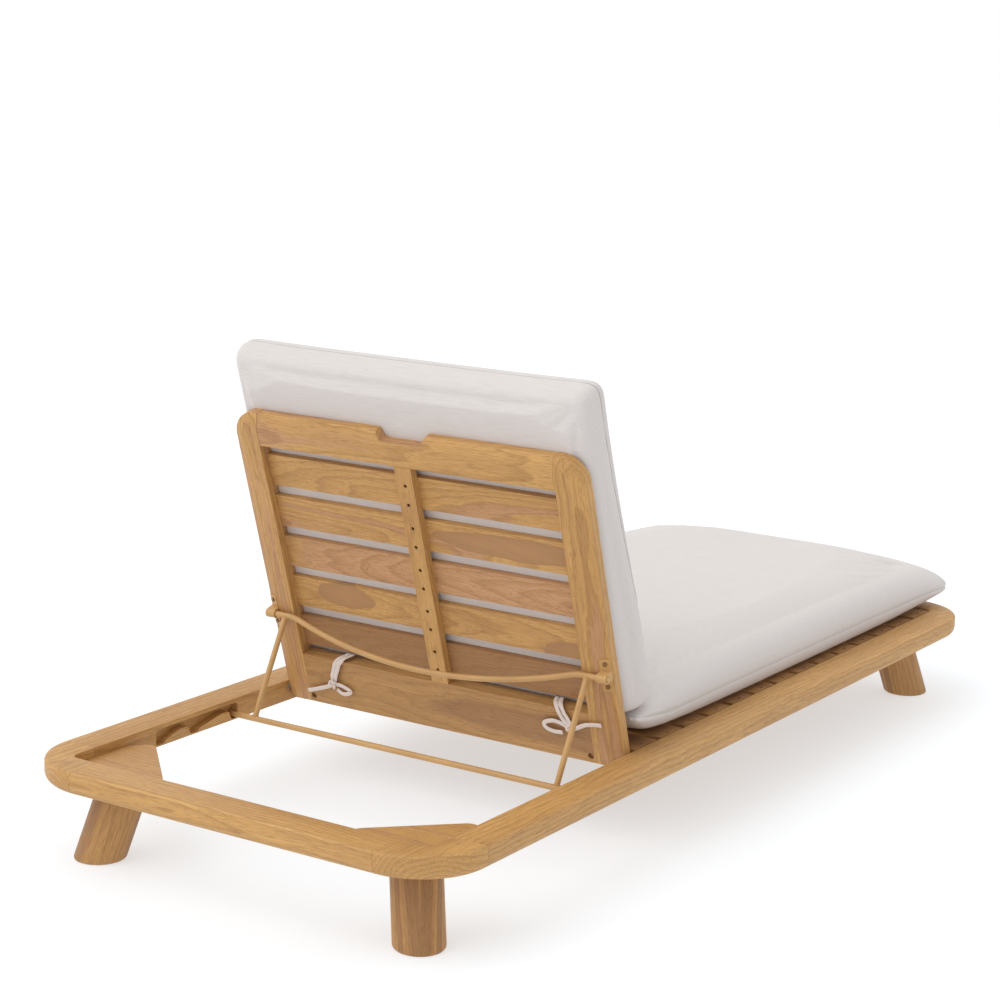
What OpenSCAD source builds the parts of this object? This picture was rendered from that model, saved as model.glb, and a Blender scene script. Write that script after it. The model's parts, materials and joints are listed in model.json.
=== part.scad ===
// Reclining sun lounger: a low timber ring on splayed legs, a slatted seat, a slatted backrest
// on two hinge bolts, a bent-rod prop that stands in racks cut in the side rails, and a folding
// mattress with ties.
// Frame: X across (positive is the left of a person lying on it), Y towards the head end, Z up.
// The origin is on the ground, under the middle of the ring.

/* [Overall] */
// Length of the ring, head to foot
lounger_l = 2050; // [1850:10:2500]
// Width of the ring
lounger_w = 900; // [760:10:1100]
// Height of the top of the ring above the ground
rail_top_z = 185; // [150:1:300]

/* [Ring] */
// Width of a rail, seen from above
rail_w = 70; // [60:1:90]
// Height of a rail
rail_h = 41; // [38:1:60]
// Radius of the outer top edge of a rail
rail_edge_r = 6; // [2:1:10]
// Radius of the rounded outer lower edge of a rail
rail_round_r = 20; // [14:1:24]
// How far the underside of a rail is set in from its outer side
rail_taper = 12; // [4:1:13]
// Outer corner radius of the ring, seen from above
corner_r = 131; // [110:1:160]
// Inner corner radius of the ring, seen from above
inner_corner_r = 18; // [6:1:30]
// Rail tenons: width, thickness and length
rail_tenon = [35, 12, 50]; // [8:1:50]
// Distance of the rail tenons from the inner faces of the rails
rail_tenon_in = 24; // [22:1:26]

/* [Gussets and legs] */
// Reach of a gusset: the sum of its distances from the side rail and the end rail at its long edge
gusset_reach = 216; // [200:1:240]
// Length of a gusset along the rails
gusset_tip = 142; // [120:1:150]
// Distance of the rounded tip's centre from the end rail
gusset_lobe_y = 154; // [146:1:160]
// Radius of the rounded tip
gusset_lobe_r = 20; // [12:1:24]
// Diameter of a leg
leg_d = 88; // [60:1:92]
// Distance of a foot's centre inside the side rail's inner face
leg_inset_x = 38; // [30:1:50]
// Distance of a foot's centre inside the end rail's inner face
leg_inset_y = 30; // [22:1:50]
// How far a leg leans outwards, each way, over its height
leg_splay = 34; // [0:1:40]
// Diameter of the studs that hold the legs
stud_d = 10; // [6:1:12]
// Length of a stud in the leg
stud_in_leg = 48; // [30:1:70]
// Length of a stud in the gusset
stud_in_gusset = 18; // [10:1:19]
// Diameter and length of the gusset dowels
gusset_dowel = [8, 40]; // [6:1:50]

/* [Seat] */
// Number of seat slats
seat_slats = 14; // [10:1:14]
// Width of a seat slat
seat_slat_w = 77; // [50:1:80]
// Thickness of a seat slat
seat_slat_t = 17.5; // [14:0.5:22]
// Width of the ledgers under the ends of the seat slats
ledger_w = 22; // [16:1:30]
// Width of the hidden cross rail under the rearmost slat
cross_rail_w = 42; // [30:1:60]
// Screw shank and head diameters
screw_d = 4; // [3:0.5:5]
// Diameter of a screw head
screw_head_d = 8; // [6:0.5:10]

/* [Backrest] */
// Recline angle of the raised backrest, from the horizontal
back_angle = 72.7; // [60:0.1:75]
// Distance of the hinge axis from the middle of the ring, towards the head end
hinge_y = 347; // [300:1:380]
// Depth of the hinge axis under the top of the rails
hinge_drop = 12.5; // [11:0.5:15]
// Thickness of the backrest frame behind the hinge axis
back_rear = 12; // [11:0.5:14]
// Thickness of the backrest frame in front of the hinge axis
back_front = 16; // [14:0.5:20]
// Wood of the backrest frame below the hinge axis
back_foot = 12.9; // [11:0.1:16]
// Width of a backrest stile
stile_w = 58; // [50:1:70]
// Width of the bottom rail above the hinge axis
bottom_rail_w = 90.6; // [60:0.1:110]
// Width of the top rail
top_rail_w = 62; // [55:1:100]
// Outer top corner radius of the backrest
back_corner_r = 50; // [40:1:80]
// Width of the bevel around the rear face
bevel_w = 24; // [10:1:30]
// Depth of that bevel
bevel_t = 10; // [4:1:12]
// Number of back slats
back_slats = 5; // [3:1:5]
// Width of a back slat
back_slat_w = 63; // [50:0.5:72]
// Gap between the top rail and the first back slat
back_slat_first_gap = 23.5; // [15:0.5:30]
// Gap between the last back slat and the bottom rail, where the ties pass
back_slat_last_gap = 14.5; // [12:0.5:30]
// Thickness of a back slat
back_slat_t = 12; // [10:1:13]
// Width of the centre stile
centre_stile_w = 36; // [28:1:50]
// Hand notch: half width at its mouth, half width at its floor, depth
notch = [53, 46, 18.5]; // [14:0.5:80]
// Radius of the lower corners of the hand notch
notch_r = 8; // [4:1:12]

/* [Hinge] */
// Diameter of the hinge bolts
hinge_bolt_d = 8; // [6:1:8]
// Outer diameter of the hinge bushes
bush_d = 12; // [11:1:13]
// Diameter and thickness of a bush's flange
bush_flange = [15, 3]; // [3:0.5:22]
// Length of a bush in the rail
bush_l = 22; // [14:1:30]
// Diameter and length of the barrel nuts
barrel_nut = [12, 15]; // [10:1:15]

/* [Prop] */
// Diameter of the prop's rods
rod_d = 11; // [8:1:12]
// Distance of the prop's pivot from the hinge, along the backrest
prop_s = 176.1; // [150:0.1:200]
// Distance of the prop's pivot axis behind the rear face
prop_stand_off = 8; // [8:0.5:12]
// Length of the prop, from its pivot axis to the middle of the bar in the racks
prop_l = 202; // [195:0.1:215]
// Height of the bar in the racks above the underside of the rails
bar_lift = 10.5; // [10.5:0.5:14]
// Distance of each prop arm from the middle
arm_x = 333; // [300:1:340]
// How far the top rod bows towards the bar
bow_depth = 50; // [20:1:60]
// Half the width of the bow
bow_half = 326; // [300:1:340]
// Radius of the middle of the bow
bow_r = 1000; // [950:10:1050]
// Width of a saddle bracket and length of its strap
saddle = [20, 64]; // [18:1:70]
// Thickness of a saddle bracket's strap
saddle_t = 2; // [1.5:0.5:3]
// Outer diameter of the eye of a saddle bracket
saddle_eye_d = 17; // [15:0.5:20]

/* [Mattress] */
// Thickness of the seat cushion
seat_pad_t = 100; // [60:1:110]
// Thickness of the back cushion
back_pad_t = 100; // [60:0.5:110]
// How far the back cushion stands above the backrest frame
back_pad_rise = 106; // [40:1:120]
// Diameter of a tie
tie_d = 6; // [4:0.5:7]

/* [Clearances] */
// Between the backrest and each side rail
back_gap = 4; // [3.5:0.5:6]
// Between the flat backrest and the head rail
back_end_gap = 16; // [3:1:20]
// Between the swinging foot of the backrest and the last seat slat
swing_gap = 4.5; // [3:0.5:8]
// Between the ends of the seat slats and the side rails
slat_end_gap = 1; // [0.5:0.5:2]
// Between the prop's top rod and the side rails
rod_end_gap = 2; // [1.5:0.5:4]
// Around the bar in the racks
rack_gap = 1.6; // [1.5:0.1:2]
// Between a turning rod and its eye or bush
turn_gap = 0.1; // [0.05:0.05:0.3]
// Around glued and screwed pieces in their holes
glue_gap = 0.1; // [0.05:0.05:0.2]
// Between a cushion and the rails or the timber under it
pad_gap = 8; // [6:1:15]

/* [Hidden] */
$fn = 48;
eps = 1;

rail_z0 = rail_top_z - rail_h;
inner_w = lounger_w / 2 - rail_w;
inner_l = lounger_l / 2 - rail_w;
side_rail_half = lounger_l / 2 - corner_r;
end_rail_half = lounger_w / 2 - corner_r;
slat_z0 = rail_top_z - seat_slat_t;
under_slat_t = slat_z0 - rail_z0;

hinge_z = rail_top_z - hinge_drop;
back_w = inner_w - back_gap;
back_l = inner_l - hinge_y - back_end_gap;
opening_w = back_w - stile_w;
opening_top = back_l - top_rail_w;
seat_rear_y = hinge_y - norm([back_foot, back_front]) - swing_gap;
slat_pitch = (seat_rear_y + inner_l) / seat_slats;
back_slat_pitch = (opening_top - back_slat_first_gap - bottom_rail_w - back_slat_last_gap - back_slat_w)
    / (back_slats - 1);
slat_joint_x = inner_w - ledger_w / 2;

// Prop linkage: the pivot on the backrest and the bar in the racks
prop_t = -back_rear - prop_stand_off;
bar_z = rail_z0 + bar_lift;
flat_angle = 1.2;
bar_y_rest = bar_y(back_angle);
bar_y_flat = bar_y(flat_angle);
prop_angle = atan2(bar_z - pivot_at(back_angle)[1], bar_y_rest - pivot_at(back_angle)[0]);
rack_depth = 16;
rack_end_r = 7;
rack_cover = 8;
rack_floor = bar_z - rod_d / 2 - rack_gap;
rack_top = rail_top_z - rack_cover;
bar_end_gap = 4;
bar_half = inner_w + rack_depth - bar_end_gap;
top_rod_half = inner_w - rod_end_gap;
bow_a = 2 * atan(bow_depth / bow_half);
bow_end_r = bow_half / sin(bow_a) - bow_r;
rod_lap = 4;
rod_sides = 16;

// Routes of the ties over the rear of the bottom rail: [x, distance up the back, depth]
tie_left_band_route = [
    [208, 99, 13], [212, 99, 1], [219, 98, -11], [228, 88, -18], [232, 80, -18],
    [236, 72, -18], [240, 64, -18], [243, 56, -18], [246, 49, -18], [250, 42, -18],
    [257, 37, -18], [266, 32, -18], [284, 25, -18], [301, 19, -18], [316, 14, -18]];
tie_left_loop_route = [
    [218, 99, 13], [222, 99, 1], [229, 98, -11], [237, 88, -18], [241, 80, -18],
    [244, 72, -18], [247, 65, -18], [250, 58, -18], [248, 43, -18], [236, 41, -18],
    [222, 37, -18], [212, 31, -18], [222, 24, -18], [234, 23, -18], [244, 30, -18]];
tie_right_tail_route = [
    [-252, 99, 13], [-255, 99, 1], [-261, 98, -11], [-269, 88, -18], [-273, 80, -18],
    [-277, 72, -18], [-281, 63, -18], [-284, 55, -18], [-291, 58, -18], [-297, 61, -18],
    [-304, 65, -18], [-312, 69, -18], [-320, 71, -18], [-329, 73, -18], [-346, 75, -18]];
tie_right_loop_route = [
    [-242, 99, 13], [-245, 99, 1], [-251, 98, -11], [-258, 88, -18], [-261, 81, -18],
    [-264, 74, -18], [-269, 67, -18], [-276, 56, -18], [-261, 62, -18], [-251, 64, -18],
    [-241, 64, -18], [-225, 57, -18], [-226, 47, -18], [-241, 42, -18], [-261, 43, -18]];
tie_knots_at = [[250, 41, -20], [-281, 54, -20]];
knot_d = 15;
tie_sides = 8;

SEAT_SLATS = [for (i = [1:14]) str("seat_slat_", i < 10 ? "0" : "", i)];
BACK_SLATS = [for (i = [1:5]) str("back_slat_", i)];

teak = "#c99a63";
teak_light = "#d3a772";
rod_colour = "#b98a5c";
steel = "silver";
nylon = "#8f7a60";
canvas = "#e6e3df";

// ---- Helpers ----

// Points on an arc about c, from angle a0 to angle a1
function arc(c, r, a0, a1, n = 6) =
    [for (i = [0:n]) let (a = a0 + (a1 - a0) * i / n) c + r * [cos(a), sin(a)]];

// Place, as [y, z], of the prop's pivot with the backrest at an angle
function pivot_at(a) =
    [hinge_y + prop_s * cos(a) - prop_t * sin(a), hinge_z + prop_s * sin(a) + prop_t * cos(a)];

// How far along the rail the bar lies with the backrest at an angle
function bar_y(a) =
    let (p = pivot_at(a)) p[0] + sqrt(prop_l * prop_l - (p[1] - bar_z) * (p[1] - bar_z));

module both_sides() {
    children();
    mirror([1, 0, 0]) children();
}

// Moves a piece from the backrest's own frame (X across, Y up the back, Z forwards) to the lounger
module on_back() {
    translate([0, hinge_y, hinge_z]) rotate([back_angle, 0, 0]) children();
}

// Moves a piece from the prop's own frame (X across, Y from pivot to bar) to the lounger
module on_prop() {
    p = pivot_at(back_angle);
    translate([0, p[0], p[1]]) rotate([prop_angle, 0, 0]) children();
}

module along_x(d, l) {
    rotate([0, 90, 0]) cylinder(d = d, h = l, center = true);
}

// A closed tube of n sides along a route of points
module tube(route, d, n) {
    last = len(route) - 1;
    function heading(i) = let (v = route[min(i + 1, last)] - route[max(i - 1, 0)]) v / norm(v);
    function across(i) =
        let (t = heading(i), u = abs(t[2]) < 0.8 ? [0, 0, 1] : [0, 1, 0], c = cross(t, u)) c / norm(c);
    points = [for (i = [0:last]) let (c = across(i), e = cross(heading(i), c))
        for (k = [0:n - 1]) route[i] + d / 2 * (c * cos(360 * k / n) + e * sin(360 * k / n))];
    sides = [for (i = [0:last - 1]) for (k = [0:n - 1])
        [i * n + k, (i + 1) * n + k, (i + 1) * n + (k + 1) % n, i * n + (k + 1) % n]];
    ends = [[for (k = [0:n - 1]) k], [for (k = [n - 1:-1:0]) last * n + k]];
    polyhedron(points, concat(sides, ends), convexity = 6);
}

// ---- Ring ----

// Section of a rail: x outwards from the inner face, y up from the underside
module rail_section() {
    drop = rail_round_r * sin(acos((rail_round_r - rail_taper) / rail_round_r));
    low_a = acos((rail_round_r - rail_taper) / rail_round_r);
    polygon(concat(
        [[0, 0], [0, rail_h]],
        arc([rail_w - rail_edge_r, rail_h - rail_edge_r], rail_edge_r, 90, 0),
        arc([rail_w - rail_round_r, drop], rail_round_r, 0, -low_a, 8)));
}

module rack_pocket() {
    y0 = bar_y_rest - rod_d / 2 - rack_gap;
    y1 = bar_y_flat + rod_d / 2 + rack_gap;
    r = rack_end_r;
    outline = concat(
        arc([y0 + r, rack_floor + r], r, 180, 270),
        arc([y1 - r, rack_floor + r], r, 270, 360),
        arc([y1 - r, rack_top - r], r, 0, 90),
        arc([y0 + r, rack_top - r], r, 90, 180));
    translate([inner_w - eps, 0, 0]) rotate([90, 0, 90])
        linear_extrude(rack_depth + eps) polygon(outline);
}

// Mirrors a piece of the head end on the left to all four corners
module all_corners() {
    for (my = [0, 1]) mirror([0, my, 0]) for (mx = [0, 1]) mirror([mx, 0, 0]) children();
}

// Loose tenons between the corner block and the two rails of the head end on the left
module rail_tenon_pair(slack) {
    grow = 2 * slack * [1, 1, 1];
    z_centre = rail_z0 + rail_h / 2;
    from_inside = rail_tenon_in + rail_tenon[0] / 2;
    translate([inner_w + from_inside, side_rail_half, z_centre])
        cube([rail_tenon[0], rail_tenon[2], rail_tenon[1]] + grow, center = true);
    translate([end_rail_half, inner_l + from_inside, z_centre])
        cube([rail_tenon[2], rail_tenon[0], rail_tenon[1]] + grow, center = true);
}

module rail_tenons() {
    color(teak_light) all_corners() rail_tenon_pair(0);
}

module side_rail() {
    difference() {
        translate([inner_w, side_rail_half, rail_z0]) rotate([90, 0, 0])
            linear_extrude(2 * side_rail_half) rail_section();
        rack_pocket();
        bush_hole();
        all_corners() rail_tenon_pair(glue_gap);
        all_corners() gusset_dowels_at(glue_gap);
    }
}

module side_rail_left() {
    color(teak) side_rail();
}

module side_rail_right() {
    color(teak) mirror([1, 0, 0]) side_rail();
}

module end_rail() {
    difference() {
        translate([-end_rail_half, inner_l, rail_z0]) rotate([90, 0, 90])
            linear_extrude(2 * end_rail_half) rail_section();
        all_corners() rail_tenon_pair(glue_gap);
        all_corners() gusset_dowels_at(glue_gap);
    }
}

module head_rail() {
    color(teak) end_rail();
}

module foot_rail() {
    color(teak) mirror([0, 1, 0]) end_rail();
}

// Corner block of the head end on the left: a quarter turn of the rail's outer shape,
// cut back to the inner corner
module corner_block() {
    reach = corner_r - rail_w;
    difference() {
        translate([end_rail_half, side_rail_half, rail_z0]) rotate_extrude(angle = 90)
            union() {
                translate([reach, 0]) rail_section();
                square([reach + eps, rail_h]);
            }
        translate([end_rail_half - eps, side_rail_half - eps, rail_z0 - eps])
            linear_extrude(rail_h + 2 * eps) polygon(concat(
                [[0, 0], [reach + eps, 0]],
                arc((reach + eps - inner_corner_r) * [1, 1], inner_corner_r, 0, 90),
                [[0, reach + eps]]));
        all_corners() rail_tenon_pair(glue_gap);
    }
}

module corner_head_left() {
    color(teak_light) corner_block();
}

module corner_head_right() {
    color(teak_light) mirror([1, 0, 0]) corner_block();
}

module corner_foot_left() {
    color(teak_light) mirror([0, 1, 0]) corner_block();
}

module corner_foot_right() {
    color(teak_light) mirror([0, 1, 0]) mirror([1, 0, 0]) corner_block();
}

// ---- Gussets and legs ----

// Outline of a gusset from its inner corner: x away from the side rail, y away from the end rail
function gusset_outline() =
    let (lobe_x = gusset_reach - sqrt(2) * gusset_lobe_r - gusset_lobe_y,
         to_tip = [0, gusset_tip] - [lobe_x, gusset_lobe_y],
         start = atan2(to_tip[1], to_tip[0]) - acos(gusset_lobe_r / norm(to_tip)),
         lobe = arc([lobe_x, gusset_lobe_y], gusset_lobe_r, start < 0 ? start + 360 : start, 45, 8))
    concat(
        arc(inner_corner_r * [1, 1], inner_corner_r, 270, 180),
        [[0, gusset_tip]],
        lobe,
        [for (i = [len(lobe) - 1:-1:0]) [lobe[i][1], lobe[i][0]]],
        [[gusset_tip, 0]]);

module leg_axis() {
    translate([inner_w - leg_inset_x, inner_l - leg_inset_y, 0])
        rotate([0, 0, 45]) rotate([0, -atan2(sqrt(2) * leg_splay, rail_z0), 0]) children();
}

function leg_length_to(z) = z * norm([leg_splay, leg_splay, rail_z0]) / rail_z0;

module leg_stud(slack) {
    low = leg_length_to(rail_z0) - stud_in_leg;
    leg_axis() translate([0, 0, low - slack])
        cylinder(d = stud_d + 2 * slack, h = stud_in_leg + stud_in_gusset + 2 * slack);
}

// Dowels between the gusset of the head end on the left and its rails
module gusset_dowels_at(slack) {
    dowel_places = [0.56, 0.85];
    for (p = dowel_places) {
        translate([inner_w, inner_l - gusset_tip * p, rail_z0 + under_slat_t / 2])
            along_x(gusset_dowel[0] + 2 * slack, gusset_dowel[1] + 2 * slack);
        translate([inner_w - gusset_tip * p, inner_l, rail_z0 + under_slat_t / 2])
            rotate([90, 0, 0])
                cylinder(d = gusset_dowel[0] + 2 * slack, h = gusset_dowel[1] + 2 * slack, center = true);
    }
}

module gusset_dowels() {
    color(teak_light) all_corners() gusset_dowels_at(0);
}

module gusset() {
    difference() {
        translate([inner_w, inner_l, rail_z0]) rotate([0, 0, 180])
            linear_extrude(under_slat_t) polygon(gusset_outline());
        leg_stud(glue_gap);
        gusset_dowels_at(glue_gap);
    }
}

module corner_gussets() {
    color(teak_light) difference() {
        all_corners() gusset();
        seat_screws_with(glue_gap);
    }
}

// Leg of the head end on the left, cut level at the ground and under the gusset
module leg() {
    difference() {
        intersection() {
            leg_axis() translate([0, 0, -leg_d])
                cylinder(d = leg_d, h = leg_length_to(rail_z0) + 2 * leg_d);
            cube([lounger_w, lounger_l, rail_z0]);
        }
        leg_stud(glue_gap);
    }
}

module leg_head_left() {
    color(teak) leg();
}

module leg_head_right() {
    color(teak) mirror([1, 0, 0]) leg();
}

module leg_foot_left() {
    color(teak) mirror([0, 1, 0]) leg();
}

module leg_foot_right() {
    color(teak) mirror([0, 1, 0]) mirror([1, 0, 0]) leg();
}

module leg_studs() {
    color(steel) all_corners() leg_stud(0);
}

// ---- Seat ----

ledger_foot_y = -(inner_l - gusset_lobe_y - gusset_lobe_r) + slat_end_gap;

module seat_ledgers() {
    color(teak_light) difference() {
        both_sides() translate([inner_w - ledger_w, ledger_foot_y, rail_z0])
            cube([ledger_w, seat_rear_y - ledger_foot_y, under_slat_t]);
        seat_screws_with(glue_gap);
    }
}

module seat_cross_rail() {
    color(teak_light)
        translate([-(inner_w - ledger_w), seat_rear_y - cross_rail_w, rail_z0])
            cube([2 * (inner_w - ledger_w), cross_rail_w, under_slat_t]);
}

function seat_slat_y(i) = -inner_l + slat_pitch * i - seat_slat_w / 2;

screw_sink = 2;
screw_head_t = 3;
seat_screw_l = 32;

module seat_screw_at(i, slack) {
    top = rail_top_z - screw_sink;
    translate([slat_joint_x, seat_slat_y(i), top - seat_screw_l - slack])
        cylinder(d = screw_d + 2 * slack, h = seat_screw_l - screw_head_t + 2 * slack);
    translate([slat_joint_x, seat_slat_y(i), top - screw_head_t - slack])
        cylinder(d = screw_head_d + 2 * slack,
                 h = slack == 0 ? screw_head_t : screw_head_t + screw_sink + eps);
}

module seat_screws_with(slack) {
    for (i = [1:seat_slats]) both_sides() seat_screw_at(i, slack);
}

module seat_slat(i) {
    half = inner_w - slat_end_gap;
    color(teak) difference() {
        translate([-half, seat_slat_y(i) - seat_slat_w / 2, slat_z0])
            cube([2 * half, seat_slat_w, seat_slat_t]);
        both_sides() seat_screw_at(i, glue_gap);
    }
}

module seat_slat_screws() {
    color(steel) seat_screws_with(0);
}

// ---- Hinge ----

module bush_hole() {
    translate([inner_w + bush_l / 2, hinge_y, hinge_z])
        along_x(bush_d, bush_l + 2 * eps);
}

module hinge_bushes() {
    color(nylon) both_sides() translate([0, hinge_y, hinge_z]) difference() {
        union() {
            translate([inner_w + bush_l / 2, 0, 0]) along_x(bush_d, bush_l);
            translate([inner_w - bush_flange[1] / 2, 0, 0]) along_x(bush_flange[0], bush_flange[1]);
        }
        translate([inner_w, 0, 0]) along_x(hinge_bolt_d + 2 * turn_gap, 2 * bush_l + 4 * eps);
    }
}

bolt_in_rail = 15;
bolt_inner_x = opening_w - bolt_in_rail;
bolt_end_gap = 2;
nut_in_rail = 8;
nut_x = opening_w - nut_in_rail;

module hinge_bolt_shape(slack) {
    outer_x = inner_w + bush_l - bolt_end_gap;
    translate([(bolt_inner_x + outer_x) / 2, 0, 0])
        along_x(hinge_bolt_d + 2 * slack, outer_x - bolt_inner_x + 2 * slack);
}

module hinge_bolts() {
    color(steel) on_back() both_sides() hinge_bolt_shape(0);
}

nut_sink = 4;

module barrel_nut_shape(slack) {
    translate([nut_x, 0, -back_rear + nut_sink])
        cylinder(d = barrel_nut[0] + 2 * slack, h = barrel_nut[1] + slack);
}

module barrel_nut_hole() {
    barrel_nut_shape(glue_gap);
    translate([nut_x, 0, -back_rear - eps])
        cylinder(d = barrel_nut[0] + 2 * glue_gap, h = nut_sink + 2 * eps);
}

module hinge_barrel_nuts() {
    color(steel) on_back() both_sides() difference() {
        barrel_nut_shape(0);
        hinge_bolt_shape(0);
    }
}

// ---- Backrest ----

// Section across the edge of the backrest: x inwards from the outline, y forwards
function edge_section(w) =
    [[0, back_front], [0, -back_rear + bevel_t], [bevel_w, -back_rear], [w, -back_rear], [w, back_front]];

// The left half of the whole backrest board, bevelled behind, with its rounded top corner
module back_blank() {
    corner_x = back_w - back_corner_r;
    corner_s = back_l - back_corner_r;
    translate([back_w, -back_foot, 0]) rotate([90, 0, 180])
        linear_extrude(corner_s + back_foot) polygon(edge_section(back_w));
    translate([corner_x, corner_s, 0]) rotate_extrude(angle = 90)
        translate([back_corner_r, 0]) mirror([1, 0]) polygon(edge_section(back_corner_r));
    translate([0, back_l, 0]) rotate([0, 90, 0]) mirror([1, 0, 0]) rotate([0, 0, -90])
        linear_extrude(corner_x) polygon(edge_section(back_l - corner_s + stile_w));
}

// A box between two corners
module span(a, b) {
    translate(a) cube(b - a);
}

tenon_l = 24;
tenon_t = [-4, 8];
// Shoulders of the tenons: below and above, on the bottom rail and on the top rail
bottom_tenon_in = [20, 16];
top_tenon_in = [14, 22];

// Tenons of the two rails in the left stile
module rail_end_tenons(slack) {
    for (s = [[bottom_tenon_in[0], bottom_rail_w - bottom_tenon_in[1]],
              [opening_top + top_tenon_in[0], back_l - top_tenon_in[1]]])
        span([opening_w - eps, s[0] - slack, tenon_t[0] - slack],
             [opening_w + tenon_l + slack, s[1] + slack, tenon_t[1] + slack]);
}

function back_slat_s(i) =
    opening_top - back_slat_first_gap - back_slat_w / 2 - back_slat_pitch * (i - 1);

slat_tenon = [12, 25, 2];

// Tenon of a back slat in the left stile
module slat_end_tenon(i, slack) {
    s = back_slat_s(i);
    span([opening_w - eps, s - slat_tenon[1] - slack, back_front - back_slat_t + slat_tenon[2] - slack],
         [opening_w + slat_tenon[0] + slack, s + slat_tenon[1] + slack,
          back_front - slat_tenon[2] + slack]);
}

module back_stile() {
    color(teak) on_back() difference() {
        intersection() {
            back_blank();
            span([opening_w, -back_foot - eps, -back_rear - eps],
                 [back_w + eps, back_l + eps, back_front + eps]);
        }
        rail_end_tenons(glue_gap);
        for (i = [1:back_slats]) slat_end_tenon(i, glue_gap);
        hinge_bolt_shape(glue_gap);
        saddle_screw_shapes(glue_gap);
    }
}

module back_stile_left() {
    back_stile();
}

module back_stile_right() {
    mirror([1, 0, 0]) back_stile();
}

// Hand notch in the top edge, with a rounded floor
module hand_notch() {
    floor_s = back_l - notch[2];
    lean = atan2(notch[0] - notch[1], notch[2] - notch_r);
    right_side = concat(
        [[notch[0] + eps * tan(lean), back_l + eps]],
        arc([notch[1] - notch_r, floor_s + notch_r], notch_r, -lean, -90));
    outline = concat(right_side, [for (i = [len(right_side) - 1:-1:0])
        [-right_side[i][0], right_side[i][1]]]);
    translate([0, 0, -back_rear - eps])
        linear_extrude(back_rear + back_front + 2 * eps) polygon(outline);
}

centre_tenon = [24, 12, 8];

module centre_tenons(slack) {
    half = centre_tenon[0] / 2 + slack;
    long = centre_tenon[1];
    for (s = [[bottom_rail_w - long, bottom_rail_w + eps], [opening_top - eps, opening_top + long]])
        span([-half, s[0] - slack, -centre_tenon[2] - slack], [half, s[1] + slack, slack]);
}

module back_top_rail() {
    color(teak) on_back() difference() {
        union() {
            both_sides() intersection() {
                back_blank();
                span([-eps, opening_top, -back_rear - eps], [opening_w, back_l + eps, back_front + eps]);
            }
            both_sides() intersection() {
                rail_end_tenons(0);
                span([0, opening_top, -back_rear], [back_w, back_l, back_front]);
            }
        }
        hand_notch();
        centre_tenons(glue_gap);
    }
}

module back_bottom_rail() {
    color(teak) on_back() difference() {
        union() {
            span([-opening_w, -back_foot, -back_rear], [opening_w, bottom_rail_w, back_front]);
            both_sides() intersection() {
                rail_end_tenons(0);
                span([0, 0, -back_rear], [back_w, bottom_rail_w, back_front]);
            }
        }
        centre_tenons(glue_gap);
        both_sides() {
            hinge_bolt_shape(glue_gap);
            barrel_nut_hole();
        }
    }
}

screw_edge = 19;
back_screw_l = 22;
back_screw_head = [7, 3];
back_screw_sink = 3;

// Screws through the centre stile into the back slats
module back_screw_shapes(slack) {
    z0 = -back_rear + back_screw_sink;
    for (i = [1:back_slats]) for (side = [-1, 1])
        translate([0, back_slat_s(i) + side * screw_edge, 0]) {
            translate([0, 0, slack == 0 ? z0 : -back_rear - eps])
                cylinder(d = back_screw_head[0] + 2 * slack,
                         h = back_screw_head[1] + slack + (slack == 0 ? 0 : back_screw_sink + eps));
            translate([0, 0, z0])
                cylinder(d = screw_d + 2 * slack, h = back_screw_l + slack);
        }
}

module back_centre_stile() {
    half = centre_stile_w / 2;
    color(teak_light) on_back() difference() {
        union() {
            span([-half, bottom_rail_w, -back_rear],
                 [half, opening_top, back_front - back_slat_t]);
            centre_tenons(0);
        }
        back_screw_shapes(glue_gap);
    }
}

module back_slat(i) {
    s = back_slat_s(i);
    color(teak) on_back() difference() {
        union() {
            span([-opening_w, s - back_slat_w / 2, back_front - back_slat_t],
                 [opening_w, s + back_slat_w / 2, back_front]);
            both_sides() slat_end_tenon(i, 0);
        }
        back_screw_shapes(glue_gap);
    }
}

module back_slat_screws() {
    color(steel) on_back() back_screw_shapes(0);
}

// ---- Saddle brackets ----

saddle_inset = 1;
saddle_x = back_w - saddle[0] / 2 - saddle_inset;
bevel_a = atan2(bevel_t, bevel_w);
saddle_screw_s = 23;
saddle_screw = [4, 8, 2.5, 14];

// Moves a piece to the left bracket's place on the bevel: Z points out of the rear face
module on_bevel() {
    depth = -back_rear + (saddle_x - (back_w - bevel_w)) * bevel_t / bevel_w;
    translate([saddle_x, prop_s, depth]) rotate([0, 180 - bevel_a, 0]) children();
}

module saddle_screw_shapes(slack) {
    on_bevel() for (side = [-1, 1]) translate([0, side * saddle_screw_s, 0]) {
        translate([0, 0, saddle_t])
            cylinder(d = saddle_screw[1], h = saddle_screw[2]);
        translate([0, 0, -saddle_screw[3] - slack])
            cylinder(d = saddle_screw[0] + 2 * slack, h = saddle_screw[3] + saddle_t + slack);
    }
}

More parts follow.
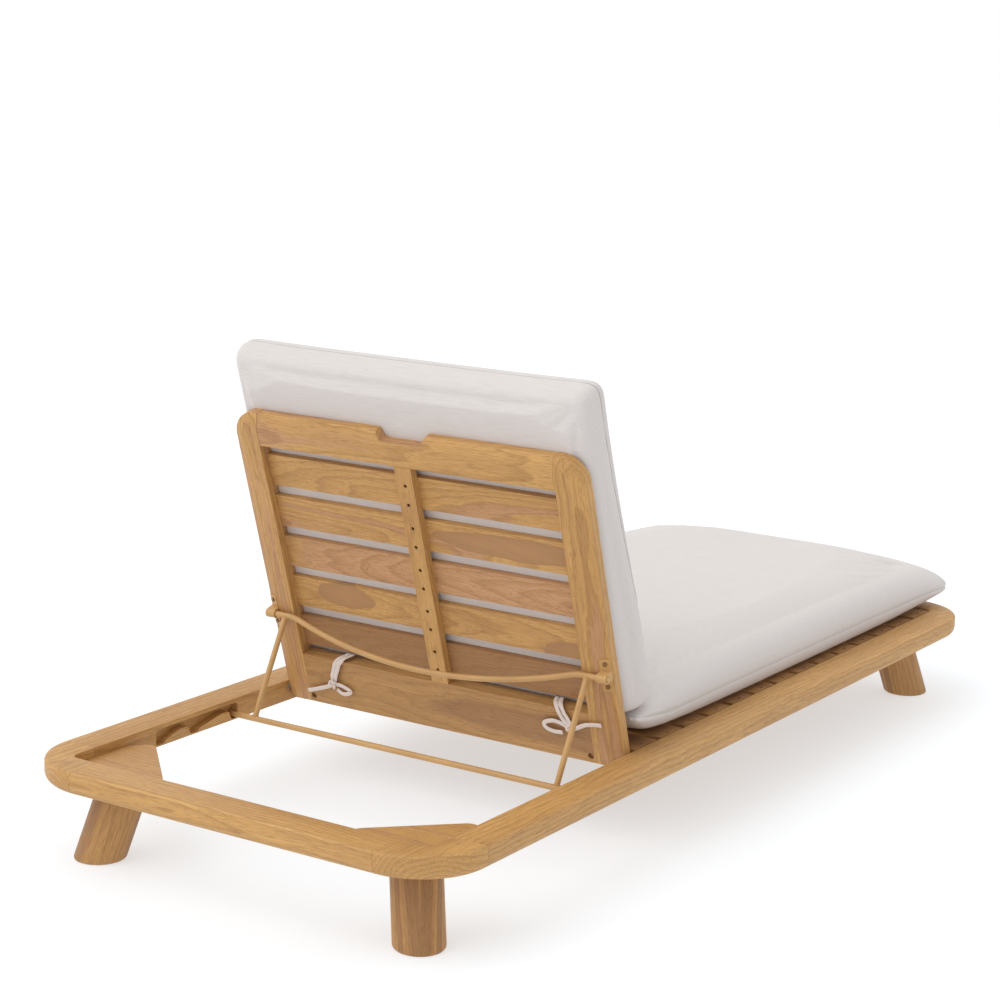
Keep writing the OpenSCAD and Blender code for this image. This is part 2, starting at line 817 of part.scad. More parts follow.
module saddle_brackets() {
    color(rod_colour) on_back() both_sides() difference() {
        union() {
            on_bevel() translate([-saddle[0] / 2, -saddle[1] / 2, 0])
                cube([saddle[0], saddle[1], saddle_t]);
            translate([saddle_x, prop_s, prop_t]) along_x(saddle_eye_d, saddle[0]);
            intersection() {
                span([saddle_x - saddle[0] / 2, prop_s - saddle_eye_d / 2, prop_t],
                     [saddle_x + saddle[0] / 2, prop_s + saddle_eye_d / 2, back_front]);
                on_bevel() translate([-saddle[0], -saddle_eye_d, 0])
                    cube([2 * saddle[0], 2 * saddle_eye_d, 3 * saddle_eye_d]);
            }
        }
        translate([saddle_x, prop_s, prop_t]) along_x(rod_d + 2 * turn_gap, saddle[0] + 2 * eps);
        saddle_screw_shapes(glue_gap);
        on_bevel() translate([-saddle[0], -saddle[1], -saddle_eye_d])
            cube([2 * saddle[0], 2 * saddle[1], saddle_eye_d]);
    }
}

module saddle_screws() {
    color(steel) on_back() both_sides() saddle_screw_shapes(0);
}

// ---- Prop ----

// The bow of the top rod, from its right end to its left end, in the prop's own frame
function bow_route() =
    let (half = concat(
        [[bow_half + rod_lap, 0]],
        arc([bow_half, bow_end_r], bow_end_r, 270, 270 - bow_a, 6),
        [for (i = [1:12]) let (a = bow_a * (1 - i / 12))
            [bow_r * sin(a), bow_depth - bow_r * (1 - cos(a))]]))
    concat([for (p = half) [p[0], p[1], 0]],
           [for (i = [len(half) - 2:-1:0]) [-half[i][0], half[i][1], 0]]);

// Top rod: straight in the brackets, bowed between the arms
module prop_top_rod() {
    bow_d = rod_d - 0.05;
    color(rod_colour) on_prop() {
        tube(bow_route(), bow_d, rod_sides);
        both_sides() translate([(bow_half + top_rod_half) / 2, 0, 0])
            along_x(rod_d, top_rod_half - bow_half);
    }
}

module prop_arm() {
    color(rod_colour) on_prop() difference() {
        translate([arm_x, 0, 0]) rotate([-90, 0, 0]) cylinder(d = rod_d, h = prop_l);
        translate([arm_x, 0, 0]) along_x(rod_d, 2 * rod_d);
        translate([arm_x, prop_l, 0]) along_x(rod_d, 2 * rod_d);
    }
}

module prop_arm_left() {
    prop_arm();
}

module prop_arm_right() {
    mirror([1, 0, 0]) prop_arm();
}

module prop_rack_bar() {
    color(rod_colour) on_prop() translate([0, prop_l, 0]) along_x(rod_d, 2 * bar_half);
}

// ---- Mattress ----

pad_over_foot = 4;
pad_over_slat = 6;
pad_rest_gap = 1;
seat_pad_r = 22;
// Rear end of the seat cushion: [distance from its rear, height above its underside]
seat_pad_rear_low = [[28, 0], [6, 10], [0, 26]];
// and [distance from its rear, depth under its top]
seat_pad_rear_high = [[0, 58], [60, 28], [100, 8], [150, 0]];

module seat_cushion() {
    half = inner_w - pad_gap;
    y0 = -lounger_l / 2 + pad_over_foot;
    z0 = rail_top_z + pad_rest_gap;
    z1 = z0 + seat_pad_t;
    rear = seat_rear_y + pad_over_slat;
    color(canvas) rotate([90, 0, 90]) translate([0, 0, -half])
        linear_extrude(2 * half) polygon(concat(
            arc([y0 + seat_pad_r, z1 - seat_pad_r], seat_pad_r, 90, 180),
            arc([y0 + seat_pad_r, z0 + seat_pad_r], seat_pad_r, 180, 270),
            [for (p = seat_pad_rear_low) [rear - p[0], z0 + p[1]]],
            [for (p = seat_pad_rear_high) [rear - p[0], z1 - p[1]]]));
}

back_pad_side_gap = 1;
back_pad_rest_gap = 0.5;
back_pad_low = 60;
back_pad_r = [29, 58];
back_pad_foot = [24, 8, 12];

module back_cushion() {
    half = inner_w - back_pad_side_gap;
    rear = back_front + back_pad_rest_gap;
    front = rear + back_pad_t;
    top = back_l + back_pad_rise;
    color(canvas) on_back() rotate([90, 0, 90]) translate([0, 0, -half])
        linear_extrude(2 * half) polygon(concat(
            [[back_pad_low, rear]],
            arc([top - back_pad_r[0], rear + back_pad_r[0]], back_pad_r[0], -90, 0),
            arc([top - back_pad_r[1], front - back_pad_r[1]], back_pad_r[1], 0, 90),
            [[back_pad_low + back_pad_foot[0], front],
             [back_pad_low + back_pad_foot[1], front - back_pad_foot[2]]]));
}

// ---- Ties ----

module tie_left_band() {
    color(canvas) on_back() tube(tie_left_band_route, tie_d, tie_sides);
}

module tie_left_loop() {
    color(canvas) on_back() tube(tie_left_loop_route, tie_d, tie_sides);
}

module tie_right_tail() {
    color(canvas) on_back() tube(tie_right_tail_route, tie_d, tie_sides);
}

module tie_right_loop() {
    color(canvas) on_back() tube(tie_right_loop_route, tie_d, tie_sides);
}

module tie_knots() {
    color(canvas) on_back() for (k = tie_knots_at) translate(k) sphere(d = knot_d);
}

// ---- Nodes ----

side_rail_left();
side_rail_right();
head_rail();
foot_rail();
corner_head_left();
corner_head_right();
corner_foot_left();
corner_foot_right();
corner_gussets();
leg_head_left();
leg_head_right();
leg_foot_left();
leg_foot_right();
leg_studs();
rail_tenons();
gusset_dowels();
seat_ledgers();
seat_cross_rail();
for (i = [1:seat_slats])
    seat_slat(i);
seat_slat_screws();
hinge_bushes();
hinge_bolts();
hinge_barrel_nuts();
back_stile_left();
back_stile_right();
back_top_rail();
back_bottom_rail();
back_centre_stile();
for (i = [1:back_slats])
    back_slat(i);
back_slat_screws();
saddle_brackets();
saddle_screws();
prop_top_rod();
prop_arm_left();
prop_arm_right();
prop_rack_bar();
seat_cushion();
back_cushion();
tie_left_band();
tie_left_loop();
tie_right_tail();
tie_right_loop();
tie_knots();
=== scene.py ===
"""Looks of a reclining sun lounger: teak ring on splayed legs, slatted seat and backrest,
a bent-rod prop in racks, and a folding mattress with ties.

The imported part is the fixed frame: X across, Y towards the head end, Z up. Sizes in this file
are millimetres, and meshes are written in metres.
"""

from __future__ import annotations

import json
import logging
import math
import random
from collections.abc import Callable
from dataclasses import dataclass, field
from enum import Enum
from functools import partial

import bmesh
import bpy
import numpy as np
from mathutils import Matrix, Vector


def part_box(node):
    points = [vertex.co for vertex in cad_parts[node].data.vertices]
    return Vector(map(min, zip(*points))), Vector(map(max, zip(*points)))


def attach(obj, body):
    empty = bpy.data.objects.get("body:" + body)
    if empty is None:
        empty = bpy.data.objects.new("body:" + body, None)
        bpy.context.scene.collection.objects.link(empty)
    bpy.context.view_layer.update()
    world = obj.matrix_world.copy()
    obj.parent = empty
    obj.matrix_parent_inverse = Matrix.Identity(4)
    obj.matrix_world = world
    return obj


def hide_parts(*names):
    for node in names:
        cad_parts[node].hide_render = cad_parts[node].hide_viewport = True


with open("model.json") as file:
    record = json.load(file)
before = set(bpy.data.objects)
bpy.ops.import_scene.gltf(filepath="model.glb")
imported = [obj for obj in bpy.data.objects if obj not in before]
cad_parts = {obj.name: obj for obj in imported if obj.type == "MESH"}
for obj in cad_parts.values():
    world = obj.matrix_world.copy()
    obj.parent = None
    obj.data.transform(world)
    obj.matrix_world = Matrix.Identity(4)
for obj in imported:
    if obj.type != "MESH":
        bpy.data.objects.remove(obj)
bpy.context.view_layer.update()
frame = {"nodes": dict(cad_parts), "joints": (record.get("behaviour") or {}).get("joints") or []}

MM = 0.001
# Corners of a copied node closer than this, in mm, are one corner
WELD_MM = 0.004
# Faces of a copied node that turn by less than this, in degrees, are one face
FLAT_DEG = 0.6
# Each corner of the ring: its sides across and along, and its words
CORNERS = ((1, 1, "head_left"), (-1, 1, "head_right"), (1, -1, "foot_left"), (-1, -1, "foot_right"))
SIDES = ((1, "left"), (-1, "right"))
log = logging.getLogger("lounger")

Points = np.ndarray
Socket = bpy.types.NodeSocket
Object = bpy.types.Object


class Body(Enum):
    """Bodies of the frame that pieces ride on."""

    FRAME = "frame"
    BACKREST = "backrest"
    PROP = "prop"


class Slot(Enum):
    """Material slots of the record."""

    TEAK = "teak"
    CANVAS = "canvas"
    TIE = "tie"
    COATED_ROD = "coated_rod"
    STEEL = "steel"
    BUSH = "bush"


# ---- Small helpers ----


def linear(hex_code: str) -> tuple[float, float, float, float]:
    """Turns an sRGB hex colour into the linear colour that a socket takes."""
    parts = [int(hex_code[i : i + 2], 16) / 255 for i in (1, 3, 5)]
    return (*[c / 12.92 if c <= 0.04045 else ((c + 0.055) / 1.055) ** 2.4 for c in parts], 1.0)


def box_mm(node: str) -> tuple[Points, Points]:
    """Lowest and highest corner of a node of the frame, in millimetres."""
    low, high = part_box(node)
    return np.array(low) / MM, np.array(high) / MM


def box_in(node: str, place: Matrix) -> tuple[Points, Points]:
    """Lowest and highest corner of a node in the frame of a place, in millimetres."""
    points = np.array([v.co for v in frame["nodes"][node].data.vertices], float) / MM
    local = moved(points, place.inverted())
    return local.min(0), local.max(0)


def moved(points: Points, place: Matrix) -> Points:
    """Takes points from a frame of their own to the lounger's."""
    m = np.array(place, float)
    return np.asarray(points, float) @ m[:3, :3].T + m[:3, 3]


def unit(rows: Points) -> Points:
    """Vectors, or rows of them, drawn to length 1."""
    return rows / np.linalg.norm(rows, axis=-1, keepdims=True)


def arc(centre: tuple[float, float], radius: float, start: float, end: float, steps: int) -> list:
    """Points on an arc.

    Args:
        centre: Middle of the arc.
        radius: Its radius.
        start: First angle, in degrees.
        end: Last angle, in degrees.
        steps: Number of stretches.

    Returns:
        The points, both ends included.
    """
    angles = np.radians(np.linspace(start, end, steps + 1))
    return [(centre[0] + radius * math.cos(a), centre[1] + radius * math.sin(a)) for a in angles]


def smooth_line(points: Points, steps: int = 6) -> Points:
    """A Catmull-Rom curve through points.

    Args:
        points: The points that it passes through.
        steps: Stretches between two of them.

    Returns:
        The points of the curve.
    """
    p = np.vstack([2 * points[0] - points[1], points, 2 * points[-1] - points[-2]])
    out = []
    for i in range(1, len(p) - 2):
        for t in np.arange(steps) / steps:
            a = 2 * p[i] + (p[i + 1] - p[i - 1]) * t
            b = (2 * p[i - 1] - 5 * p[i] + 4 * p[i + 1] - p[i + 2]) * t**2
            c = (3 * p[i] - p[i - 1] - 3 * p[i + 1] + p[i + 2]) * t**3
            out.append((a + b + c) / 2)
    return np.array([*out, p[-2]])


# ---- Meshes ----


def linked(name: str, mesh: bpy.types.Mesh) -> Object:
    """Makes an object of a mesh and puts it in the scene."""
    obj = bpy.data.objects.new(name, mesh)
    bpy.context.scene.collection.objects.link(obj)
    return obj


def taken(name: str, bm: bmesh.types.BMesh) -> Object:
    """Makes an object of a working mesh, which is used up."""
    mesh = bpy.data.meshes.new(name)
    bm.to_mesh(mesh)
    bm.free()
    return linked(name, mesh)


def new_object(name: str, points: Points, faces: list) -> Object:
    """Makes an object of a closed mesh, its faces turned outwards.

    Args:
        name: Name of the piece.
        points: Corners, in millimetres.
        faces: Corner indices of each face.

    Returns:
        The object.
    """
    mesh = bpy.data.meshes.new(name)
    mesh.from_pydata((np.asarray(points, float) * MM).tolist(), [], faces)
    bm = bmesh.new()
    bm.from_mesh(mesh)
    bmesh.ops.recalc_face_normals(bm, faces=bm.faces)
    bm.to_mesh(mesh)
    bm.free()
    return linked(name, mesh)


def loft(name: str, rings: list, closed: bool = False) -> Object:
    """Makes a solid through rings of as many points each.

    Args:
        name: Name of the piece.
        rings: The rings, in order.
        closed: Whether the last ring joins the first.

    Returns:
        The object.
    """
    n, count = len(rings[0]), len(rings)
    faces = []
    for i in range(count if closed else count - 1):
        j = (i + 1) % count
        faces += [(i * n + k, i * n + (k + 1) % n, j * n + (k + 1) % n, j * n + k) for k in range(n)]
    if not closed:
        faces += [tuple(range(n)), tuple((count - 1) * n + k for k in range(n))]
    return new_object(name, np.vstack(rings), faces)


def bake_modifiers(obj: Object) -> None:
    """Turns an object's modifiers into its mesh."""
    graph = bpy.context.evaluated_depsgraph_get()
    graph.update()
    old = obj.data
    obj.data = bpy.data.meshes.new_from_object(obj.evaluated_get(graph), depsgraph=graph)
    obj.modifiers.clear()
    obj.data.name = obj.name
    bpy.data.meshes.remove(old)


def cut(obj: Object, cutters: list) -> None:
    """Takes the cutters' space out of an object, and removes the cutters."""
    for cutter in cutters:
        modifier = obj.modifiers.new("cut", "BOOLEAN")
        modifier.operation = "DIFFERENCE"
        modifier.solver = "EXACT"
        modifier.object = cutter
    bake_modifiers(obj)
    for cutter in cutters:
        bpy.data.objects.remove(cutter)


def ease(obj: Object, width: float, segments: int = 2, angle: float = 32) -> None:
    """Rounds an object's sharp edges and keeps its flat faces flat to the light.

    Args:
        obj: The object.
        width: Width of the rounding, in millimetres.
        segments: Faces across it.
        angle: Edges sharper than this are rounded, in degrees.
    """
    bevel = obj.modifiers.new("ease", "BEVEL")
    bevel.width = width * MM
    bevel.segments = segments
    bevel.limit_method = "ANGLE"
    bevel.angle_limit = math.radians(angle)
    bevel.use_clamp_overlap = True
    bevel.miter_outer = "MITER_ARC"
    obj.data.shade_smooth()
    weights = obj.modifiers.new("flat faces", "WEIGHTED_NORMAL")
    weights.keep_sharp = True
    bake_modifiers(obj)


def shade(obj: Object, angle: float = 40) -> None:
    """Shades an object smooth, with its sharp edges kept."""
    obj.data.shade_smooth()
    obj.data.set_sharp_from_angle(angle=math.radians(angle))


def solid_copy(node: str, name: str, width: float = 0.0) -> Object:
    """Makes a piece with the shape of a node of the frame, with its edges eased.

    Args:
        node: The node.
        name: Name of the piece.
        width: Width of the easing, in millimetres.

    Returns:
        The object, which stands for the node.
    """
    bm = bmesh.new()
    bm.from_mesh(frame["nodes"][node].data)
    bmesh.ops.remove_doubles(bm, verts=bm.verts, dist=WELD_MM * MM)
    bmesh.ops.dissolve_limit(bm, angle_limit=math.radians(FLAT_DEG), verts=bm.verts, edges=bm.edges)
    obj = taken(name, bm)
    if width:
        ease(obj, width)
    else:
        shade(obj)
    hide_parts(node)
    return obj


def tube(name: str, line: Points, diameter: float, sides: int = 20,
         dome: float = 0.3) -> Object:
    """Makes a round rod along a line, its ends a little domed.

    Args:
        name: Name of the piece.
        line: Points down its middle.
        diameter: Its diameter.
        sides: Faces round it.
        dome: How far the edge of an end is rounded, as a share of the radius.

    Returns:
        The object.
    """
    heading = unit(np.gradient(line, axis=0))
    side = np.cross(heading[0], (0.0, 0.0, 1.0))
    if np.linalg.norm(side) < 0.2:
        side = np.cross(heading[0], (1.0, 0.0, 0.0))
    turns = np.linspace(0, 2 * math.pi, sides, endpoint=False)
    sections = [(p, h, diameter / 2) for p, h in zip(line, heading)]
    back, lip = dome * diameter / 2, [(0.45, 0.16), (0.0, 0.5)]
    first, last = sections[0], sections[-1]
    starts = [(first[0] - first[1] * back * (1 - a), first[1], first[2] - back * b) for a, b in lip]
    ends = [(last[0] + last[1] * back * (1 - a), last[1], last[2] - back * b) for a, b in lip]
    rings = []
    for centre, along, radius in [*starts[::-1], *sections, *ends]:
        side = unit(side - along * float(side @ along))
        round_it = np.outer(np.cos(turns), side) + np.outer(np.sin(turns), np.cross(along, side))
        rings.append(centre + radius * round_it)
    obj = loft(name, rings)
    shade(obj, 50)
    return obj


def turned(name: str, profile: list, place: Matrix, steps: int = 28) -> Object:
    """Makes a turned piece about the Z axis of its place.

    Args:
        name: Name of the piece.
        profile: (radius, height) of each ring, from one end to the other.
        place: Where it stands, in millimetres.
        steps: Faces round it.

    Returns:
        The object.
    """
    turns = np.linspace(0, 2 * math.pi, steps, endpoint=False)
    rings = []
    for radius, height in profile:
        ring = np.stack([radius * np.cos(turns), radius * np.sin(turns), np.full(steps, height)], axis=1)
        rings.append(moved(ring, place))
    obj = loft(name, rings)
    shade(obj, 35)
    return obj


def join(name: str, parts: list) -> Object:
    """Joins objects into one."""
    bm = bmesh.new()
    for part in parts:
        bm.from_mesh(part.data)
    obj = taken(name, bm)
    for part in parts:
        bpy.data.objects.remove(part)
    return obj


# ---- Grain ----


@dataclass(frozen=True)
class Sawing:
    """How a piece lies in the log that it was sawn from.

    Its grain attribute holds, in metres, each corner's place along the log, and across it from
    the pith, so that one material draws every piece's own rings.
    """

    along: tuple
    across: tuple
    pith: tuple
    lean: tuple
    start: float
    tone: float

    @classmethod
    def of(cls, name: str, along: tuple, across: tuple, pith: float = 60, lean: float = 0.05,
           tone: float | None = None) -> "Sawing":
        """Chooses a piece's place in the log from its name.

        Args:
            name: Name of the piece.
            along: Direction of the grain.
            across: Direction across the face that shows most.
            pith: About how far the pith lies from the middle of the piece.
            lean: How much the pith leans to the face.
            tone: Tone of the wood from 0, pale, to 1, dark, or None to choose it.

        Returns:
            The sawing.
        """
        pick = random.Random(name)
        side = pick.choice((-1, 1))
        return cls(
            along=along, across=across,
            pith=(pick.uniform(-0.35, 0.35) * pith, side * pith * pick.uniform(0.7, 1.3)),
            lean=(pick.uniform(-0.012, 0.012), pick.choice((-1, 1)) * lean * pick.uniform(0.6, 1.3)),
            start=pick.uniform(0, 40000),
            tone=pick.uniform(0.25, 0.75) if tone is None else tone,
        )

    def in_log(self, local: Points) -> Points:
        """Takes rows of places in a piece, from its middle, to the log's coordinates."""
        ahead = local[:, 0]
        return np.stack([ahead + self.start,
                         local[:, 1] + self.pith[0] + self.lean[0] * ahead,
                         local[:, 2] + self.pith[1] + self.lean[1] * ahead], axis=1)

    def mark(self, obj: Object) -> None:
        """Writes the grain and tone attributes of a piece."""
        mesh = obj.data
        co = np.array([v.co for v in mesh.vertices], float) / MM
        along, across = Vector(self.along).normalized(), Vector(self.across).normalized()
        axes = np.array([along, across, along.cross(across)])
        grain = self.in_log((co - (co.min(0) + co.max(0)) / 2) @ axes.T)
        attribute = mesh.attributes.new("grain", "FLOAT_VECTOR", "POINT")
        attribute.data.foreach_set("vector", (grain * MM).astype(np.float32).ravel())
        tone = mesh.attributes.new("tone", "FLOAT", "POINT")
        tone.data.foreach_set("value", np.full(len(co), self.tone, np.float32))


# ---- Finishes ----


def add_node(tree: bpy.types.NodeTree, kind: str, settings: dict | None = None,
             inputs: dict | None = None) -> bpy.types.Node:
    """Adds a shader node with its settings and links.

    Args:
        tree: The node tree.
        kind: The node's type, without its first word.
        settings: Its own settings; "stops" holds a ramp's places and greys.
        inputs: For each input, a value, or another node's output to link.

    Returns:
        The node.
    """
    node = tree.nodes.new(f"ShaderNode{kind}")
    for name, value in (settings or {}).items():
        if name == "stops":
            ramp = node.color_ramp
            while len(ramp.elements) < len(value):
                ramp.elements.new(0.5)
            for element, (place, grey) in zip(ramp.elements, value):
                element.position = place
                element.color = (grey, grey, grey, 1.0)
        else:
            setattr(node, name, value)
    for name, value in (inputs or {}).items():
        if isinstance(value, Socket):
            tree.links.new(value, node.inputs[name])
        else:
            node.inputs[name].default_value = value
    return node


def wave_scale(apart: float) -> float:
    """Scale of a wave whose lines are some millimetres apart; at scale 1 they are 2 pi / 20 apart."""
    return 2 * math.pi / (20 * apart * MM)


@dataclass(frozen=True)
class Finish:
    """A finish: the name of its material, and what it draws."""

    name: str

    def surface(self, node: Callable) -> dict:
        """Draws the finish.

        Args:
            node: Adds a node to the material's tree.

        Returns:
            The inputs of the shader.
        """
        raise NotImplementedError

    def material(self) -> bpy.types.Material:
        """Builds the material."""
        material = bpy.data.materials.new(self.name)
        material.use_nodes = True
        material.node_tree.nodes.clear()
        node = partial(add_node, material.node_tree)
        shader = node("BsdfPrincipled", {}, self.surface(node))
        node("OutputMaterial", {}, {"Surface": shader.outputs[0]})
        return material

    @staticmethod
    def drawn_out(node: Callable, at: Socket, along: float, across: float,
                  **inputs: float) -> bpy.types.Node:
        """Adds noise that is drawn out along X.

        Args:
            node: Adds a node to the material's tree.
            at: Where the noise is taken.
            along: Its scale along X.
            across: Its scale across X.
            **inputs: Other inputs of the noise.

        Returns:
            The noise.
        """
        place = node("VectorMath", {"operation": "MULTIPLY"}, {0: at, 1: (along, across, across)})
        return node("TexNoise", {}, {"Vector": place.outputs[0], "Scale": 1.0, **inputs})


@dataclass(frozen=True)
class Teak(Finish):
    """Oiled teak, planed and sanded: honey-coloured bands with darker late wood and open pores.

    The eye gets flowing ring figures, fine brown pore lines along the grain, and a soft satin.
    """

    name: str = "teak_oiled"
    golden: str = "#D3A463"
    rose: str = "#C8996D"
    late: str = "#8E6236"
    heart: str = "#5F3D22"
    island: str = "#A87D54"
    ring: float = 8.5
    zone: float = 24.0
    pore: float = 1.3
    islands: tuple = ()

    def surface(self, node: Callable) -> dict:
        """Draws rings, fibres, pores and clouds from the grain and tone attributes."""
        grain = node("Attribute", {"attribute_name": "grain"}).outputs["Vector"]
        tone = node("Attribute", {"attribute_name": "tone"}).outputs["Fac"]
        # The trunk wanders: the rings bend by a few millimetres over a hand's breadth
        wander = self.drawn_out(node, grain, 5.0, 22.0, Detail=2.0)
        at = node("VectorMath", {"operation": "MULTIPLY_ADD"},
                  {0: wander.outputs["Color"], 1: (0.0, 0.022, 0.022), 2: grain}).outputs[0]
        rings = node("TexWave", {"wave_type": "RINGS", "rings_direction": "X", "wave_profile": "SAW"},
                     {"Vector": at, "Scale": wave_scale(self.ring), "Distortion": 1.2,
                      "Detail": 2.0, "Detail Scale": 0.6, "Detail Roughness": 0.5})
        stops = [(0.0, 0.0), (0.55, 0.28), (0.86, 0.95), (0.94, 0.8), (1.0, 0.05)]
        band = node("ValToRGB", {"stops": stops}, {"Fac": rings.outputs["Fac"]})
        # Fibres: streaks a few millimetres wide and a hand long
        streaks = self.drawn_out(node, at, 7.0, 330.0, Detail=3.0, Roughness=0.6).outputs["Fac"]
        # Pores: drawn about three times as coarse as they are, so that they show
        pores = self.drawn_out(node, at, 38.0, 1 / (self.pore * MM), Detail=1.0)
        stops = [(0.0, 1.0), (0.36, 1.0), (0.44, 0.0), (1.0, 0.0)]
        pore_dark = node("ValToRGB", {"stops": stops}, {"Fac": pores.outputs["Fac"]}).outputs[0]
        clouds = self.drawn_out(node, grain, 2.6, 13.0, Detail=2.0)
        # Zones: whole bands of rings are golden or rose brown, with a crisp edge between them
        in_section = node("VectorMath", {"operation": "MULTIPLY"}, {0: at, 1: (0.0, 1.0, 1.0)})
        radius = node("VectorMath", {"operation": "LENGTH"}, {0: in_section.outputs[0]})
        zones = node("TexNoise", {"noise_dimensions": "1D"},
                     {"W": radius.outputs["Value"], "Scale": 1 / (self.zone * MM), "Detail": 1.0})
        leaning = node("Math", {"operation": "MULTIPLY_ADD"},
                       {0: tone, 1: 0.5, 2: zones.outputs["Fac"]})
        zone = node("MapRange", {"interpolation_type": "SMOOTHSTEP"},
                    {"Value": leaning.outputs[0], "From Min": 0.74, "From Max": 0.79})
        colour = node("Mix", {"data_type": "RGBA"},
                      {"Factor": zone.outputs[0], 6: linear(self.golden), 7: linear(self.rose)})
        cloud = node("MapRange", {}, {"Value": clouds.outputs["Fac"], "From Min": 0.35,
                                      "From Max": 0.72, "To Max": 0.3})
        late = node("Math", {"operation": "MULTIPLY"}, {0: band.outputs["Color"], 1: 0.42})
        fibre = node("MapRange", {}, {"Value": streaks, "From Min": 0.3, "From Max": 0.7,
                                      "To Max": 0.34})
        pore = node("Math", {"operation": "MULTIPLY"}, {0: pore_dark, 1: 0.3})
        # Each layer over the last: how much, and its colour
        for amount, layer in ((cloud, self.late), (late, self.late), (fibre, self.late),
                              (pore, self.heart)):
            colour = node("Mix", {"data_type": "RGBA"},
                          {"Factor": amount.outputs[0], 6: colour.outputs[2], 7: linear(layer)})
        for centre, size in self.islands:
            colour = self._island(node, grain, centre, size, streaks, colour.outputs[2])
        relief = node("Math", {"operation": "MULTIPLY_ADD"}, {0: pore_dark, 1: -0.6, 2: streaks})
        bump = node("Bump", {},
                    {"Strength": 0.35, "Distance": 0.25 * MM, "Height": relief.outputs[0]})
        rough = node("MapRange", {}, {"Value": streaks, "To Min": 0.44, "To Max": 0.62})
        return {"Base Color": colour.outputs[2], "Roughness": rough.outputs[0], "IOR": 1.5,
                "Specular IOR Level": 0.42, "Normal": bump.outputs[0]}

    def _island(self, node: Callable, grain: Socket, centre: tuple, size: tuple,
                streaks: Socket, colour: Socket) -> bpy.types.Node:
        """Adds an island of brown heartwood with a crisp edge.

        Args:
            node: Adds a node to the material's tree.
            grain: The grain coordinates.
            centre: Its middle in the log, in millimetres.
            size: Its half sizes, in millimetres.
            streaks: The fibre pattern.
            colour: The colour so far.

        Returns:
            The mix with the new colour.
        """
        away = node("VectorMath", {"operation": "SUBTRACT"},
                    {0: grain, 1: tuple(v * MM for v in centre)})
        scaled = node("VectorMath", {"operation": "DIVIDE"},
                      {0: away.outputs[0], 1: tuple(v * MM for v in size)}).outputs[0]
        edge = node("TexNoise", {}, {"Vector": scaled, "Scale": 1.1, "Detail": 1.0})
        distance = node("VectorMath", {"operation": "LENGTH"}, {0: scaled})
        uneven = node("Math", {"operation": "MULTIPLY_ADD"},
                      {0: edge.outputs["Fac"], 1: 0.5, 2: distance.outputs["Value"]}).outputs[0]
        inside = node("MapRange", {"interpolation_type": "SMOOTHSTEP"},
                      {"Value": uneven, "From Min": 1.2, "From Max": 1.28, "To Min": 0.85,
                       "To Max": 0.0})
        # Its middle is a little paler than its edge
        shell = node("MapRange", {}, {"Value": uneven, "From Min": 0.5, "From Max": 1.25,
                                      "To Max": 0.35})
        fibre = node("Math", {"operation": "MULTIPLY"}, {0: shell.outputs[0], 1: streaks})
        brown = node("Mix", {"data_type": "RGBA"},
                     {"Factor": fibre.outputs[0], 6: linear(self.island), 7: linear(self.heart)})
        return node("Mix", {"data_type": "RGBA"},
                    {"Factor": inside.outputs[0], 6: colour, 7: brown.outputs[2]})


@dataclass(frozen=True)
class Canvas(Finish):
    """Solution-dyed acrylic canvas, plain woven: off-white, matt, with a soft sheen at the edges.

    The eye gets an even pale cloth with faint slubs and a fine weave, and grey sewn seams.
    """

    name: str = "canvas_woven"
    colour: str = "#D5CFCC"
    slub: str = "#C4BCB8"
    seam: str = "#8E8984"
    seam_w: float = 1.3
    thread: float = 2.4

    def surface(self, node: Callable) -> dict:
        """Draws weave, slubs and seams from the rest and seam attributes."""
        rest = node("Attribute", {"attribute_name": "rest"}).outputs["Vector"]
        seam = node("Attribute", {"attribute_name": "seam"})
        # The threads are under a millimetre apart, drawn as coarse as shows
        warp, weft = (node("TexWave", {"bands_direction": way},
                           {"Vector": rest, "Scale": wave_scale(self.thread), "Distortion": 0.6,
                            "Detail": 1.0}).outputs["Fac"] for way in "XY")
        weave = node("Math", {"operation": "ADD"}, {0: warp, 1: weft})
        slubs = self.drawn_out(node, rest, 30.0, 420.0, Detail=3.0)
        slub_tone = node("MapRange", {}, {"Value": slubs.outputs["Fac"], "From Min": 0.4,
                                          "From Max": 0.75, "To Max": 0.4})
        toned = node("Mix", {"data_type": "RGBA"}, {"Factor": slub_tone.outputs[0],
                                                    6: linear(self.colour), 7: linear(self.slub)})
        off = node("Math", {"operation": "ABSOLUTE"}, {0: seam.outputs["Fac"]})
        line = node("MapRange", {"interpolation_type": "SMOOTHSTEP"},
                    {"Value": off.outputs[0], "From Min": 0.3 * self.seam_w * MM,
                     "From Max": self.seam_w * MM, "To Min": 0.75, "To Max": 0.0})
        sewn = node("Mix", {"data_type": "RGBA"},
                    {"Factor": line.outputs[0], 6: toned.outputs[2], 7: linear(self.seam)})
        crumple = node("TexNoise", {}, {"Vector": rest, "Scale": 9.0, "Detail": 3.0})
        soft = node("Bump", {},
                    {"Strength": 0.5, "Distance": 4.0 * MM, "Height": crumple.outputs["Fac"]})
        fine = node("Bump", {}, {"Strength": 0.25, "Distance": 0.3 * MM,
                                 "Height": weave.outputs[0], "Normal": soft.outputs[0]})
        return {"Base Color": sewn.outputs[2], "Roughness": 0.92, "Specular IOR Level": 0.2,
                "Sheen Weight": 0.12, "Sheen Roughness": 0.5, "Normal": fine.outputs[0]}


